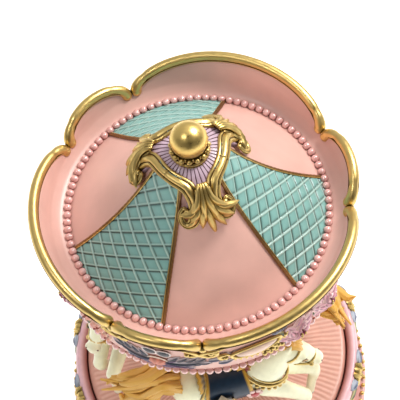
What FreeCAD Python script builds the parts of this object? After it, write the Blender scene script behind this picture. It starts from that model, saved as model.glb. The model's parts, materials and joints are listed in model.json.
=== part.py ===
import FreeCAD, Part
import math
import os
import re
import Sketcher

# A wind-up carousel music box. Millimetres, +Z up, origin on the floor under the
# centre of the round base. Every driving size is a cell of the sheet "dims".

SIZES = {
    # Base
    "base_radius": 62.0,          # widest part of the foot
    "base_wall_radius": 57.0,     # waist above it
    "relief_radius": 59.6,        # band of cast flowers under the rim
    "rim_radius": 57.8,           # outside of the plain rim
    "cavity_radius": 54.0,        # inside of the base
    "foot_height": 1.5,
    "foot_radius": 3.0,
    "foot_ring_radius": 57.2,
    "foot_count": 4,
    "cover_low": 11.0,            # underside of the bottom cover
    "cover_thick": 2.0,
    "ledge_radius": 50.0,         # ledge that the cover is screwed to
    "ledge_thick": 3.0,
    "cover_hole_radius": 4.2,
    "deck_low": 29.2,             # fixed plate under the turntable
    "deck_thick": 1.8,
    "rim_top": 37.0,
    "rim_inner_radius": 52.8,
    "screw_ring_radius": 51.8,
    "screw_radius": 1.0,
    "screw_head_radius": 1.9,
    "screw_head_thick": 1.2,
    # Turntable, column and poles
    "hub_low": 31.4,
    "hub_radius": 12.0,
    "table_low": 33.0,
    "table_top": 36.0,
    "table_radius": 51.4,
    "column_radius": 11.0,
    "column_foot_radius": 19.0,
    "column_bore": 8.0,
    "rod_radius": 1.5,
    "pole_radius": 1.5,
    "horse_ring_radius": 32.0,    # from the axis to each pole
    "first_horse_angle": 277.0,
    "saddle_thick": 1.0,
    "saddle_length": 16.0,
    # Canopy
    "ceiling_low": 131.5,
    "ceiling_thick": 2.5,
    "ceiling_radius": 44.8,
    "roof_low": 155.8,            # foot of the roof on its lip
    "roof_ring_height": 158.0,    # centres of the roof's bead ring
    "roof_ring_radius": 44.0,
    "roof_bead_count": 99,
    "roof_mid_radius": 28.5,
    "roof_mid_height": 170.3,
    "roof_top_radius": 12.0,
    "roof_top_height": 193.0,
    "roof_thick": 2.2,
    "bead_radius": 1.32,
    "frieze_ring_height": 134.2,
    "frieze_ring_radius": 48.4,
    "frieze_bead_count": 108,
    # Scalloped crest, three small and three large arches
    "cusp_rise": 3.0,             # above the roof's bead ring
    "small_arch": 6.4,            # above the cusps
    "large_arch": 8.9,
    "small_arch_angle": 34.6,
    "first_small_centre": 8.1,
    "crest_radius": 50.4,         # at a cusp
    "crest_flare": 0.4,           # outward travel per height
    "crest_blank_rise": 14.0,     # wall before its arches are cut
    "crest_tube_radius": 1.4,
    "scroll_radius": 2.0,
    # Finial
    "cap_radius": 17.0,
    "cap_top": 196.4,
    "collar_radius": 6.2,
    "collar_height": 2.6,
    "ball_radius": 6.04,
    "ball_height": 204.6,
    "stud_radius": 1.2,
    # Movement
    "bed_thick": 1.6,
    "bed_left": -17.0,
    "bed_right": 47.6,
    "bed_front": -14.0,
    "bed_back": 22.0,
    "bush_radius": 3.5,
    "deck_bush_radius": 5.0,
    "axis_height": 23.0,          # drum and fly axes, above the floor
    "shaft_radius": 2.0,          # winding arbor and drive shaft
    "running_gap": 0.05,
    "barrel_radius": 11.0,
    "barrel_low": 17.0,
    "barrel_top": 27.0,
    "spring_thick": 0.35,
    "spring_turns": 7,
    "crown_plane": 19.6,          # pitch plane of the barrel's face teeth
    "tooth_rise": 0.5,            # of the face teeth and pinion, past the pitch
    "tooth_fall": 0.75,           # and short of it
    "crown_teeth": 40,
    "pinion_teeth": 10,
    "crown_mean_radius": 13.6,
    "face_width": 2.4,
    "drum_radius": 5.5,
    "drum_start": 17.4,
    "drum_length": 18.6,
    "pin_height": 0.45,
    "pin_width": 0.35,
    "drum_arbor_radius": 0.9,
    "arbor_start": 12.0,
    "gear_module": 0.45,
    "wheel_teeth": 24,
    "fly_teeth": 8,
    "gear_width": 1.2,
    "fly_offset": 7.26,           # between the drum and fly axes
    "wheel_start": 36.4,
    "bracket_thick": 1.2,
    "inner_bracket_start": 15.6,
    "outer_bracket_start": 38.2,
    "fly_shaft_radius": 0.6,
    "fly_bracket_start": 44.6,
    "fan_radius": 4.6,
    "fan_hub_radius": 1.3,
    "fan_length": 3.6,
    "fan_blade_thick": 0.5,
    "comb_teeth": 18,
    "comb_pitch": 1.0,
    "comb_slot": 0.2,
    "comb_thick": 1.2,
    # Winding key
    "key_low": 2.6,
    "key_hub_radius": 3.2,
    "key_span": 26.0,
    "key_wing_thick": 2.0,
}

ORIGIN = FreeCAD.Vector(0, 0, 0)
UP = FreeCAD.Vector(0, 0, 1)
HORSES = 3

doc = FreeCAD.newDocument("carousel_music_box")
dims = doc.addObject("Spreadsheet::Sheet", "dims")
for row, (alias, value) in enumerate(SIZES.items(), start=1):
    dims.set(f"A{row}", alias)
    dims.set(f"B{row}", str(value))
    dims.setAlias(f"B{row}", alias)
doc.recompute()

nodes = []


def sheet_names(text):
    """Put the sheet's name before each alias, as the document's expressions need."""
    return re.sub(r"[a-z_]+", lambda word: "dims." + word.group() if word.group() in SIZES
                  else word.group(), str(text))


def value_of(text):
    """The number that an expression of sheet aliases stands for."""
    return float(dims.evalExpression(sheet_names(text)))


def bind(item, prop, text):
    item.setExpression(prop, sheet_names(text))


def keep(item, label):
    item.Label = label
    nodes.append(item)
    return item


# ---------------------------------------------------------------- sketches

def pin_point(sketch, geometry, corner, across, up):
    """Hold one point of a sketch at two expressions from the sketch's origin."""
    for kind, text in (("DistanceX", across), ("DistanceY", up)):
        number = value_of(text)
        index = sketch.addConstraint(Sketcher.Constraint(kind, -1, 1, geometry, corner, number))
        bind(sketch, f"Constraints[{index}]", text)


def new_sketch(body, role, name, lift="0"):
    plane = [item for item in body.Origin.OriginFeatures if item.Role == role][0]
    sketch = body.newObject("Sketcher::SketchObject", name)
    sketch.AttachmentSupport = (plane, [""])
    sketch.MapMode = "FlatFace"
    bind(sketch, "AttachmentOffset.Base.z", lift)
    return sketch


def draw_outline(sketch, points):
    """A closed outline. Each point is (across, up); (across, up, via_across, via_up)
    is reached along an arc through the via point."""
    spots = [FreeCAD.Vector(value_of(p[0]), value_of(p[1]), 0) for p in points]
    lines = []
    for index, point in enumerate(points):
        start = spots[index - 1]
        end = spots[index]
        if len(point) == 4:
            via = FreeCAD.Vector(value_of(point[2]), value_of(point[3]), 0)
            line = sketch.addGeometry(Part.ArcOfCircle(start, via, end), False)
            dot = sketch.addGeometry(Part.Point(via), True)
            pin_point(sketch, dot, 1, point[2], point[3])
            sketch.addConstraint(Sketcher.Constraint("PointOnObject", dot, 1, line))
        else:
            line = sketch.addGeometry(Part.LineSegment(start, end), False)
        lines.append(line)
    ends = []
    for index, line in enumerate(lines):
        ends.append(end_corners(sketch, line, spots[index - 1]))
    for index, line in enumerate(lines):
        following = (index + 1) % len(lines)
        sketch.addConstraint(Sketcher.Constraint(
            "Coincident", line, ends[index][1], lines[following], ends[following][0]))
        pin_point(sketch, line, ends[index][1], points[index][0], points[index][1])


def end_corners(sketch, line, start):
    """Which end of a line or arc is its start: an arc always runs anticlockwise."""
    first = sketch.getPoint(line, 1)
    if first.distanceToPoint(start) < 1e-6:
        return 1, 2
    return 2, 1


def draw_circle(sketch, across, up, radius):
    centre = FreeCAD.Vector(value_of(across), value_of(up), 0)
    circle = sketch.addGeometry(Part.Circle(centre, UP, value_of(radius)), False)
    pin_point(sketch, circle, 3, across, up)
    index = sketch.addConstraint(Sketcher.Constraint("Radius", circle, value_of(radius)))
    bind(sketch, f"Constraints[{index}]", radius)


def draw_box(sketch, left, low, right, high):
    draw_outline(sketch, [(left, low), (right, low), (right, high), (left, high)])


# ------------------------------------------------------------ body makers

def new_body(label):
    return keep(doc.addObject("PartDesign::Body", label), label)


def turned(label, points):
    """A piece of revolution about Z from its (radius, height) outline."""
    body = new_body(label)
    sketch = new_sketch(body, "XZ_Plane", label + "_profile")
    draw_outline(sketch, points)
    spin = body.newObject("PartDesign::Revolution", label + "_turned")
    spin.Profile = sketch
    spin.ReferenceAxis = (sketch, ["V_Axis"])
    spin.Angle = 360
    body.Tip = spin
    return body


def ring_points(inner, outer, low, high):
    return [(inner, low), (outer, low), (outer, high), (inner, high)]


def pad(body, sketch, name, length):
    block = body.newObject("PartDesign::Pad", name)
    block.Profile = sketch
    bind(block, "Length", length)
    body.Tip = block
    return block


def cut_upward(body, sketch, name, length):
    """Cut a sketch upward through the body and check that it has removed something."""
    doc.recompute()
    before = body.Shape.Volume
    cut = body.newObject("PartDesign::Pocket", name)
    cut.Profile = sketch
    cut.Reversed = True
    bind(cut, "Length", length)
    body.Tip = cut
    doc.recompute()
    if body.Shape.Volume >= before:
        raise RuntimeError(name + " cuts nothing")
    return cut


def lay_along_x(item, start, across="0", up="0"):
    """Turn a piece made along Z so that it lies along X from start."""
    item.Placement = FreeCAD.Placement(ORIGIN, FreeCAD.Rotation(FreeCAD.Vector(0, 1, 0), 90))
    bind(item, "Placement.Base.x", start)
    bind(item, "Placement.Base.y", across)
    bind(item, "Placement.Base.z", up)


def free_shape(label, shape, placement=None):
    item = doc.addObject("Part::Feature", label)
    item.Shape = shape
    if placement is not None:
        item.Placement = placement
    return keep(item, label)


def polar(radius, degrees, height):
    angle = math.radians(degrees)
    return FreeCAD.Vector(radius * math.cos(angle), radius * math.sin(angle), height)


# -------------------------------------------------------------------- base

COVER_SCREWS = [(f"screw_ring_radius * cos({angle})", f"screw_ring_radius * sin({angle})")
                for angle in (45, 135, 225, 315)]
BED_SCREWS = [("bed_left + 4", "bed_front + 4"), ("bed_left + 4", "bed_back - 4"),
              ("bed_right - 5", "8")]
COMB_SCREWS = [("drum_start + 3", "bed_back - 3.2"), ("drum_start + 15.6", "bed_back - 3.2")]
HUB_SCREWS = [(f"(hub_radius - 2.5) * cos({angle})", f"(hub_radius - 2.5) * sin({angle})")
              for angle in (30, 150, 270)]
COVER_TOP = "cover_low + cover_thick"
BED_TOP = "cover_low + cover_thick + bed_thick"
DECK_TOP = "deck_low + deck_thick"


def round_posts(label, places, levels):
    """One node of separate round pieces: each level is (radius, low, length)."""
    body = new_body(label)
    body.AllowCompound = True
    for number, (radius, low, length) in enumerate(levels):
        sketch = new_sketch(body, "XY_Plane", f"{label}_circles_{number}", low)
        for across, along in places:
            draw_circle(sketch, across, along, radius)
        pad(body, sketch, f"{label}_level_{number}", length)
    return body


def drill(body, name, places, radius, low, length):
    sketch = new_sketch(body, "XY_Plane", name + "_circles", low)
    for across, along in places:
        draw_circle(sketch, across, along, radius)
    cut_upward(body, sketch, name, length)


def base_pieces():
    wall = "base_wall_radius"
    housing = turned("base_housing", [
        ("cavity_radius", "foot_height"),
        ("base_radius - 1.6", "foot_height"),
        ("base_radius - 1.6", "foot_height + 7", "base_radius", "foot_height + 3.5"),
        (wall, "foot_height + 9.5"),
        (wall, "rim_top - 13"),
        ("relief_radius", "rim_top - 10"),
        ("relief_radius", "rim_top - 4"),
        ("rim_radius", "rim_top - 2.4"),
        ("rim_radius - 1.8", "rim_top", "rim_radius - 0.4", "rim_top - 0.8"),
        ("rim_inner_radius + 2", "rim_top"),
        ("rim_inner_radius", "rim_top - 1.6", "rim_inner_radius + 0.6", "rim_top - 0.5"),
        ("rim_inner_radius", DECK_TOP),
        ("cavity_radius", DECK_TOP),
        ("cavity_radius", COVER_TOP + " + ledge_thick"),
        ("ledge_radius", COVER_TOP + " + ledge_thick"),
        ("ledge_radius", COVER_TOP),
        ("cavity_radius", COVER_TOP),
    ])
    drill(housing, "ledge_screw_holes", COVER_SCREWS, "screw_radius", COVER_TOP, "ledge_thick - 0.5")
    turned("deck_plate", ring_points("deck_bush_radius", "cavity_radius", "deck_low", DECK_TOP))
    cover = turned("bottom_cover", ring_points(
        "cover_hole_radius", "cavity_radius - 0.1", "cover_low", COVER_TOP))
    drill(cover, "cover_screw_holes", COVER_SCREWS + BED_SCREWS,
          "screw_radius", "cover_low", "cover_thick")
    round_posts("cover_screws", COVER_SCREWS, [
        ("screw_head_radius", "cover_low - screw_head_thick", "screw_head_thick"),
        ("screw_radius", "cover_low", "cover_thick + ledge_thick - 0.5")])
    count = int(value_of("foot_count"))
    feet = [(f"foot_ring_radius * cos({angle})", f"foot_ring_radius * sin({angle})")
            for angle in range(0, 360, 360 // count)]
    round_posts("feet", feet, [("foot_radius", "0", "foot_height")])


# ---------------------------------------------------------------- movement

def bracket(label, start, across, half_width, top, holes):
    """An upright bearing plate standing on the bedplate, square to X."""
    body = new_body(label)
    sketch = new_sketch(body, "YZ_Plane", label + "_outline", start)
    draw_box(sketch, f"{across} - {half_width}", BED_TOP, f"{across} + {half_width}", top)
    for centre, radius in holes:
        draw_circle(sketch, centre, "axis_height", radius + " + running_gap")
    pad(body, sketch, label + "_plate", "bracket_thick")


def movement_frame():
    bed = new_body("movement_bedplate")
    outline = new_sketch(bed, "XY_Plane", "bed_outline", COVER_TOP)
    draw_outline(outline, [("bed_left", "bed_front"), ("bed_right", "bed_front"),
                           ("bed_right", "bed_back - 8"), ("bed_right - 9", "bed_back"),
                           ("bed_left", "bed_back")])
    pad(bed, outline, "bed_sheet", "bed_thick")
    block = new_sketch(bed, "XY_Plane", "comb_block_outline", BED_TOP)
    draw_box(block, "drum_start + 0.3", "bed_back - 5.8", "drum_start + 18.3", "bed_back - 0.6")
    pad(bed, block, "comb_block", f"axis_height - comb_thick / 2 - ({BED_TOP})")
    drill(bed, "bed_screw_holes", BED_SCREWS, "screw_radius", COVER_TOP, "bed_thick")
    drill(bed, "arbor_bush_hole", [("0", "0")], "bush_radius", COVER_TOP, "bed_thick")
    drill(bed, "comb_screw_bores", COMB_SCREWS, "screw_radius",
          "axis_height - comb_thick / 2 - 2.5", "2.5")
    round_posts("movement_screws", BED_SCREWS, [
        ("screw_head_radius", "cover_low - screw_head_thick", "screw_head_thick"),
        ("screw_radius", "cover_low", "cover_thick + bed_thick")])
    inner = "shaft_radius + running_gap"
    turned("arbor_bush", [
        (inner, COVER_TOP), ("bush_radius", COVER_TOP), ("bush_radius", BED_TOP),
        ("bush_radius + 1.1", BED_TOP), ("bush_radius + 1.1", BED_TOP + " + 0.6"),
        (inner, BED_TOP + " + 0.6")])
    turned("deck_bush", [
        (inner, "deck_low"), ("deck_bush_radius", "deck_low"), ("deck_bush_radius", DECK_TOP),
        ("deck_bush_radius + 2", DECK_TOP), ("deck_bush_radius + 2", "hub_low - 0.1"),
        (inner, "hub_low - 0.1")])
    bracket("drum_bracket_inner", "inner_bracket_start", "0", "4", "axis_height + 3",
            [("0", "drum_arbor_radius")])
    bracket("drum_bracket_outer", "outer_bracket_start", "(-fly_offset / 2)", "(fly_offset / 2 + 2.5)",
            "axis_height + 3", [("0", "drum_arbor_radius"), ("-fly_offset", "fly_shaft_radius")])
    bracket("fly_bracket", "fly_bracket_start", "(-fly_offset)", "2.2", "axis_height + 2.2",
            [("-fly_offset", "fly_shaft_radius")])


def comb_pieces():
    comb = new_body("comb")
    low = "axis_height - comb_thick / 2"
    tip = "drum_radius + pin_height + 0.1"
    left = "drum_start + 0.3"
    outline = new_sketch(comb, "XY_Plane", "comb_outline", low)
    draw_box(outline, left, tip, left + " + comb_teeth * comb_pitch", "bed_back - 0.6")
    pad(comb, outline, "comb_plate", "comb_thick")
    gap = new_sketch(comb, "XY_Plane", "comb_gap_outline", low)
    draw_box(gap, left + " + comb_pitch - comb_slot", tip + " - 1", left + " + comb_pitch",
             "bed_back - 6.4")
    slot = cut_upward(comb, gap, "comb_gap", "comb_thick")
    slots = comb.newObject("PartDesign::LinearPattern", "comb_gaps")
    slots.Originals = [slot]
    slots.Direction = (gap, ["H_Axis"])
    bind(slots, "Length", "comb_pitch * (comb_teeth - 2)")
    bind(slots, "Occurrences", "comb_teeth - 1")
    comb.Tip = slots
    drill(comb, "comb_screw_holes", COMB_SCREWS, "screw_radius", low, "comb_thick")
    round_posts("comb_screws", COMB_SCREWS, [
        ("screw_radius", low + " - 2.5", "2.5 + comb_thick"),
        ("screw_head_radius", low + " + comb_thick", "screw_head_thick")])


def tooth_ring(tooth, teeth, pitch_radius, turn):
    """Corners of a straight-sided toothed wheel, its first tooth at angle turn. A tooth
    is (rise past the pitch, fall short of it, half its tip, half its root)."""
    rise, fall, half_tip, half_root = tooth
    inner = pitch_radius - fall
    outer = pitch_radius + rise
    corners = []
    for number in range(teeth):
        angle = turn + math.tau * number / teeth
        for along, across in ((inner, -half_root), (outer, -half_tip),
                              (outer, half_tip), (inner, half_root)):
            corners.append(FreeCAD.Vector(
                along * math.cos(angle) - across * math.sin(angle),
                along * math.sin(angle) + across * math.cos(angle), 0))
    return corners


def spur_tooth():
    """Tooth of the small train between the drum and the fly, in parts of its module."""
    module = value_of("gear_module")
    return (0.7 * module, 1.05 * module, 0.2 * module, 0.5 * module)


def toothed_wheel(tooth, teeth, pitch_radius, turn, thick, bore):
    corners = tooth_ring(tooth, teeth, pitch_radius, turn)
    disc = Part.Face(Part.makePolygon(corners + corners[:1]))
    solid = disc.extrude(FreeCAD.Vector(0, 0, thick))
    return solid.cut(Part.makeCylinder(bore, thick))


def along_x(start, across, up):
    """Placement of a piece made along Z: its Z goes to +X and its X to -Z."""
    return FreeCAD.Placement(FreeCAD.Vector(start, across, up),
                             FreeCAD.Rotation(FreeCAD.Vector(0, 1, 0), 90))


def barrel_pieces():
    flange_top = "crown_plane - tooth_fall"
    barrel = turned("spring_barrel", [
        ("shaft_radius + 0.3", "barrel_low"), ("barrel_radius", "barrel_low"),
        ("barrel_radius", flange_top + " - 1"), ("barrel_radius + 4.2", flange_top + " - 1"),
        ("barrel_radius + 4.2", flange_top), ("barrel_radius", flange_top),
        ("barrel_radius", "barrel_top"), ("barrel_radius - 1", "barrel_top"),
        ("barrel_radius - 1", "barrel_low + 1"), ("shaft_radius + 0.3", "barrel_low + 1")])
    side = new_sketch(barrel, "YZ_Plane", "face_tooth_outline", "crown_mean_radius - face_width / 2")
    draw_outline(side, [
        ("-0.5", flange_top + " - 0.05"), ("0.5", flange_top + " - 0.05"),
        ("0.2", "crown_plane + tooth_rise"), ("-0.2", "crown_plane + tooth_rise")])
    tooth = pad(barrel, side, "face_tooth", "face_width")
    ring = barrel.newObject("PartDesign::PolarPattern", "face_teeth")
    ring.Originals = [tooth]
    axis = [item for item in barrel.Origin.OriginFeatures if item.Role == "Z_Axis"][0]
    ring.Axis = (axis, [""])
    ring.Angle = 360
    bind(ring, "Occurrences", "crown_teeth")
    barrel.Tip = ring
    turned("barrel_lid", ring_points("shaft_radius", "barrel_radius", "barrel_top", "barrel_top + 1"))
    shaft = keep(doc.addObject("Part::Cylinder", "drive_shaft"), "drive_shaft")
    bind(shaft, "Radius", "shaft_radius")
    bind(shaft, "Height", "table_top - barrel_top")
    bind(shaft, "Placement.Base.z", "barrel_top")
    free_shape("mainspring", mainspring_shape())


def mainspring_shape():
    """A flat strip wound from near the arbor to the barrel's wall."""
    inner = value_of("shaft_radius + 1")
    outer = value_of("barrel_radius - 1.2")
    thick = value_of("spring_thick")
    turns = value_of("spring_turns")
    low = value_of("barrel_low + 1.3")
    count = int(12 * turns)

    def spiral(extra):
        points = []
        for step in range(count + 1):
            share = step / count
            radius = inner + (outer - thick - inner) * share + extra
            points.append(polar(radius, 360 * turns * share, low))
        curve = Part.BSplineCurve()
        curve.interpolate(points)
        return curve.toShape(), points[0], points[-1]

    near, near_start, near_end = spiral(0)
    far, far_start, far_end = spiral(thick)
    outline = Part.Wire([near, Part.makeLine(near_end, far_end), far,
                         Part.makeLine(far_start, near_start)])
    return Part.Face(outline).extrude(FreeCAD.Vector(0, 0, value_of("barrel_top - barrel_low - 1.6")))


def pinned_cylinder(radius, length):
    """The tune: short square pins, one row for each tooth of the comb."""
    rise = value_of("pin_height")
    width = value_of("pin_width")
    sunk = 0.4
    tracks = int(value_of("comb_teeth"))
    spacing = (length - 1) / (tracks - 1)
    golden_turn = 137.5
    pins = []
    for number in range(3 * tracks):
        track = 0.5 + (number % tracks) * spacing
        corner = FreeCAD.Vector(radius - sunk, -width / 2, track - width / 2)
        pin = Part.makeBox(rise + sunk, width, width, corner)
        pin.rotate(ORIGIN, UP, golden_turn * number)
        pins.append(pin)
    return Part.makeCylinder(radius, length).fuse(pins)


def drum_pieces():
    axis = value_of("axis_height")
    length = value_of("drum_length")
    arbor = value_of("drum_arbor_radius")
    drum = pinned_cylinder(value_of("drum_radius"), length).cut(Part.makeCylinder(arbor, length))
    free_shape("drum_cylinder", drum.removeSplitter(), along_x(value_of("drum_start"), 0, axis))
    rod = keep(doc.addObject("Part::Cylinder", "drum_arbor"), "drum_arbor")
    bind(rod, "Radius", "drum_arbor_radius")
    bind(rod, "Height", "wheel_start + 3.8 - arbor_start")
    lay_along_x(rod, "arbor_start", "0", "axis_height")
    pinion_tooth = (value_of("tooth_rise"), value_of("tooth_fall"), 0.2, 0.48)
    teeth = int(value_of("pinion_teeth"))
    pitch = value_of("crown_mean_radius * pinion_teeth / crown_teeth")
    thick = value_of("face_width")
    pinion = toothed_wheel(pinion_tooth, teeth, pitch, math.pi / teeth, thick, arbor)
    free_shape("drum_pinion", pinion, along_x(value_of("crown_mean_radius") - thick / 2, 0, axis))
    teeth = int(value_of("wheel_teeth"))
    pitch = value_of("gear_module * wheel_teeth / 2")
    wheel = toothed_wheel(spur_tooth(), teeth, pitch, 0, value_of("gear_width"), arbor)
    free_shape("drum_wheel", wheel, along_x(value_of("wheel_start"), 0, axis))


def fly_pieces():
    """The air brake: a small pinion, its shaft and the two-bladed fan that it spins."""
    axis = value_of("axis_height")
    offset = -value_of("fly_offset")
    teeth = int(value_of("fly_teeth"))
    shaft = value_of("fly_shaft_radius")
    pitch = value_of("gear_module * fly_teeth / 2")
    pinion = toothed_wheel(spur_tooth(), teeth, pitch, math.pi / teeth, value_of("gear_width"), shaft)
    free_shape("fly_pinion", pinion, along_x(value_of("wheel_start"), offset, axis))
    rod = keep(doc.addObject("Part::Cylinder", "fly_shaft"), "fly_shaft")
    bind(rod, "Radius", "fly_shaft_radius")
    bind(rod, "Height", "fly_bracket_start + bracket_thick + 0.4 - (wheel_start - 0.2)")
    lay_along_x(rod, "wheel_start - 0.2", "-fly_offset", "axis_height")
    reach = value_of("fan_radius")
    length = value_of("fan_length")
    blade = value_of("fan_blade_thick")
    hub = Part.makeCylinder(value_of("fan_hub_radius"), length)
    blades = Part.makeBox(2 * reach, blade, length, FreeCAD.Vector(-reach, -blade / 2, 0))
    fan = hub.fuse(blades).cut(Part.makeCylinder(shaft, length))
    free_shape("fly_fan", fan, along_x(value_of("outer_bracket_start + bracket_thick + 0.7"),
                                       offset, axis))


def key_pieces():
    turned("winding_arbor", [
        ("0", "key_low + 2.4"), ("shaft_radius", "key_low + 2.4"),
        ("shaft_radius", BED_TOP + " + 0.7"), ("shaft_radius + 1.2", BED_TOP + " + 0.7"),
        ("shaft_radius + 1.2", BED_TOP + " + 1.7"), ("shaft_radius", BED_TOP + " + 1.7"),
        ("shaft_radius", "barrel_top - 1"), ("0", "barrel_top - 1")])
    key = new_body("winding_key")
    wings = new_sketch(key, "XZ_Plane", "key_wing_outline", "(-key_wing_thick / 2)")
    low = "key_low + 0.6"
    high = "key_low + 6.6"
    side = "key_span / 2 - 3"
    middle = "key_low + 3.6"
    draw_outline(wings, [
        (f"-({side})", low, "-key_span / 2", middle), (side, low),
        (side, high, "key_span / 2", middle), (f"-({side})", high)])
    pad(key, wings, "key_wings", "key_wing_thick")
    profile = new_sketch(key, "XZ_Plane", "key_hub_profile")
    draw_box(profile, "0", "key_low", "key_hub_radius", "cover_low - 0.2")
    hub = key.newObject("PartDesign::Revolution", "key_hub")
    hub.Profile = profile
    hub.ReferenceAxis = (profile, ["V_Axis"])
    hub.Angle = 360
    key.Tip = hub
    drill(key, "key_bore", [("0", "0")], "shaft_radius", "key_low + 2.4", "cover_low - key_low")


# ----------------------------------------------------- turntable and column

def turntable_pieces():
    turned("turntable_hub", ring_points("shaft_radius", "hub_radius", "hub_low", "table_low"))
    table = turned("turntable", [
        ("shaft_radius", "table_low"), ("table_radius", "table_low"),
        ("table_radius", "table_top - 1"),
        ("table_radius - 1", "table_top", "table_radius - 0.3", "table_top - 0.3"),
        ("shaft_radius", "table_top")])
    drill(table, "table_screw_holes", HUB_SCREWS, "screw_radius", "table_low",
          "table_top - table_low")
    hub = [item for item in nodes if item.Label == "turntable_hub"][0]
    drill(hub, "hub_screw_holes", HUB_SCREWS, "screw_radius", "hub_low + 0.4", "table_low - hub_low")
    round_posts("hub_screws", HUB_SCREWS, [
        ("screw_radius", "hub_low + 0.4", "table_top - hub_low - 0.4"),
        ("screw_head_radius", "table_top", "screw_head_thick")])
    foot = "column_foot_radius"
    waist = "column_radius"
    turned("column", [
        (foot + " - 5", "table_top"), (foot, "table_top"), (foot, "table_top + 3"),
        (waist + " + 4.5", "table_top + 6", foot + " - 0.6", "table_top + 5.6"),
        (waist + " + 1.5", "table_top + 12", waist + " + 2.2", "table_top + 8.6"),
        (waist, "table_top + 16"), (waist, "ceiling_low - 18"),
        (waist + " + 1.5", "ceiling_low - 14"),
        (foot + " - 1", "ceiling_low - 3", waist + " + 3.2", "ceiling_low - 7"),
        (foot + " - 1", "ceiling_low"), ("column_bore", "ceiling_low"),
        ("column_bore", "table_top + 2"), (foot + " - 5", "table_top + 2")])
    rod = keep(doc.addObject("Part::Cylinder", "tie_rod"), "tie_rod")
    bind(rod, "Radius", "rod_radius")
    bind(rod, "Height", "ceiling_low + ceiling_thick + 5 - table_top")
    bind(rod, "Placement.Base.z", "table_top")
    nut_low = "ceiling_low + ceiling_thick"
    nut = new_body("tie_nut")
    outline = new_sketch(nut, "XY_Plane", "nut_outline", nut_low)
    draw_outline(outline, [(f"3 * cos({angle})", f"3 * sin({angle})") for angle in range(0, 360, 60)])
    draw_circle(outline, "0", "0", "rod_radius")
    pad(nut, outline, "nut_block", "2.6")


# ------------------------------------------------------------------ canopy

def roof_points():
    roof = "roof_ring_height"
    wall = "roof_ring_radius - 1.6"
    seat = "roof_ring_height - 1.4"
    top = "roof_top_radius"
    return [
        (wall + " - 2.4", "roof_low", "roof_mid_radius - roof_thick * 0.9",
         "roof_mid_height - roof_thick * 0.9"),
        ("roof_ring_radius + 1.9", "roof_low"),
        ("roof_ring_radius + 1.9", seat), (wall, seat), (wall, roof),
        (top, "roof_top_height", "roof_mid_radius", "roof_mid_height"),
        (top + " - roof_thick", "roof_top_height")]


def crest_points():
    """Section of the canopy's side wall: frieze outside, cove inside, up past the arches."""
    lean = "crest_radius - crest_flare * cusp_rise"
    high = "crest_blank_rise"
    return [
        ("ceiling_radius", "ceiling_low"), ("ceiling_radius + 2.2", "ceiling_low"),
        ("ceiling_radius + 2.2", "ceiling_low + 4.5"),
        ("ceiling_radius + 4.4", "ceiling_low + 5.7"),
        ("ceiling_radius + 5", "roof_ring_height - 6"),
        ("crest_radius + 1", "roof_ring_height + cusp_rise"),
        (f"{lean} + crest_flare * {high} + 1", f"roof_ring_height + {high}"),
        (f"{lean} + crest_flare * {high} - 1", f"roof_ring_height + {high}"),
        ("crest_radius - 1", "roof_ring_height + cusp_rise"),
        ("roof_ring_radius + 2", "roof_ring_height"), ("roof_ring_radius + 2", "roof_low"),
        ("roof_ring_radius - 1.4", "roof_low"), ("roof_ring_radius - 1.4", "roof_low - 2"),
        ("ceiling_radius", "roof_low - 2")]


def arches():
    """(centre angle, half angle, rise) of the six arches, small and large in turn."""
    small = value_of("small_arch_angle")
    large = 120 - small
    first = value_of("first_small_centre")
    spans = []
    for third in range(3):
        spans.append((first + 120 * third, small / 2, value_of("small_arch")))
        spans.append((first + 60 + 120 * third, large / 2, value_of("large_arch")))
    return spans


def arch_points(centre, half_angle, rise, share, steps, outward):
    """Points along an arch: half an ellipse wrapped round the flared wall."""
    points = []
    base = value_of("roof_ring_height")
    for step in range(steps + 1):
        swing = math.radians(180 * step / steps - 90) * share
        height = value_of("cusp_rise") + rise * math.cos(swing)
        radius = value_of("crest_radius") + value_of("crest_flare") * (height - value_of("cusp_rise"))
        points.append(polar(radius + outward, centre + half_angle * math.sin(swing), base + height))
    return points


def smooth_edge(points):
    curve = Part.BSplineCurve()
    curve.interpolate(points)
    return curve.toShape()


def rim_shape():
    """The gilt moulding: a tube along each arch, joined by a round scroll at each cusp."""
    tube = value_of("crest_tube_radius")
    pieces = []
    for centre, half_angle, rise in arches():
        path = smooth_edge(arch_points(centre, half_angle, rise, 0.93, 24, 0))
        start = path.valueAt(path.FirstParameter)
        along = path.tangentAt(path.FirstParameter)
        ring = Part.Wire(Part.makeCircle(tube, start, along))
        pieces.append(Part.Wire(path).makePipeShell([ring], True, True))
        scroll = polar(value_of("crest_radius"), centre + half_angle,
                       value_of("roof_ring_height + cusp_rise"))
        pieces.append(Part.makeSphere(value_of("scroll_radius"), scroll))
    return pieces[0].fuse(pieces[1:])


def above_arches():
    """Blocks that fill everything above the arches, to cut the wall's top."""
    blocks = []
    for centre, half_angle, rise in arches():
        inner = smooth_edge(arch_points(centre, half_angle, rise, 1, 16, -8))
        outer = smooth_edge(arch_points(centre, half_angle, rise, 1, 16, 8))
        sheet = Part.makeRuledSurface(inner, outer)
        blocks.append(sheet.extrude(FreeCAD.Vector(0, 0, 30)))
    return blocks


def bead_ring(label, count, radius, height):
    ball = value_of("bead_radius")
    beads = [Part.makeSphere(ball, polar(radius, 360 * number / count, height))
             for number in range(count)]
    free_shape(label, Part.makeCompound(beads))


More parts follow.
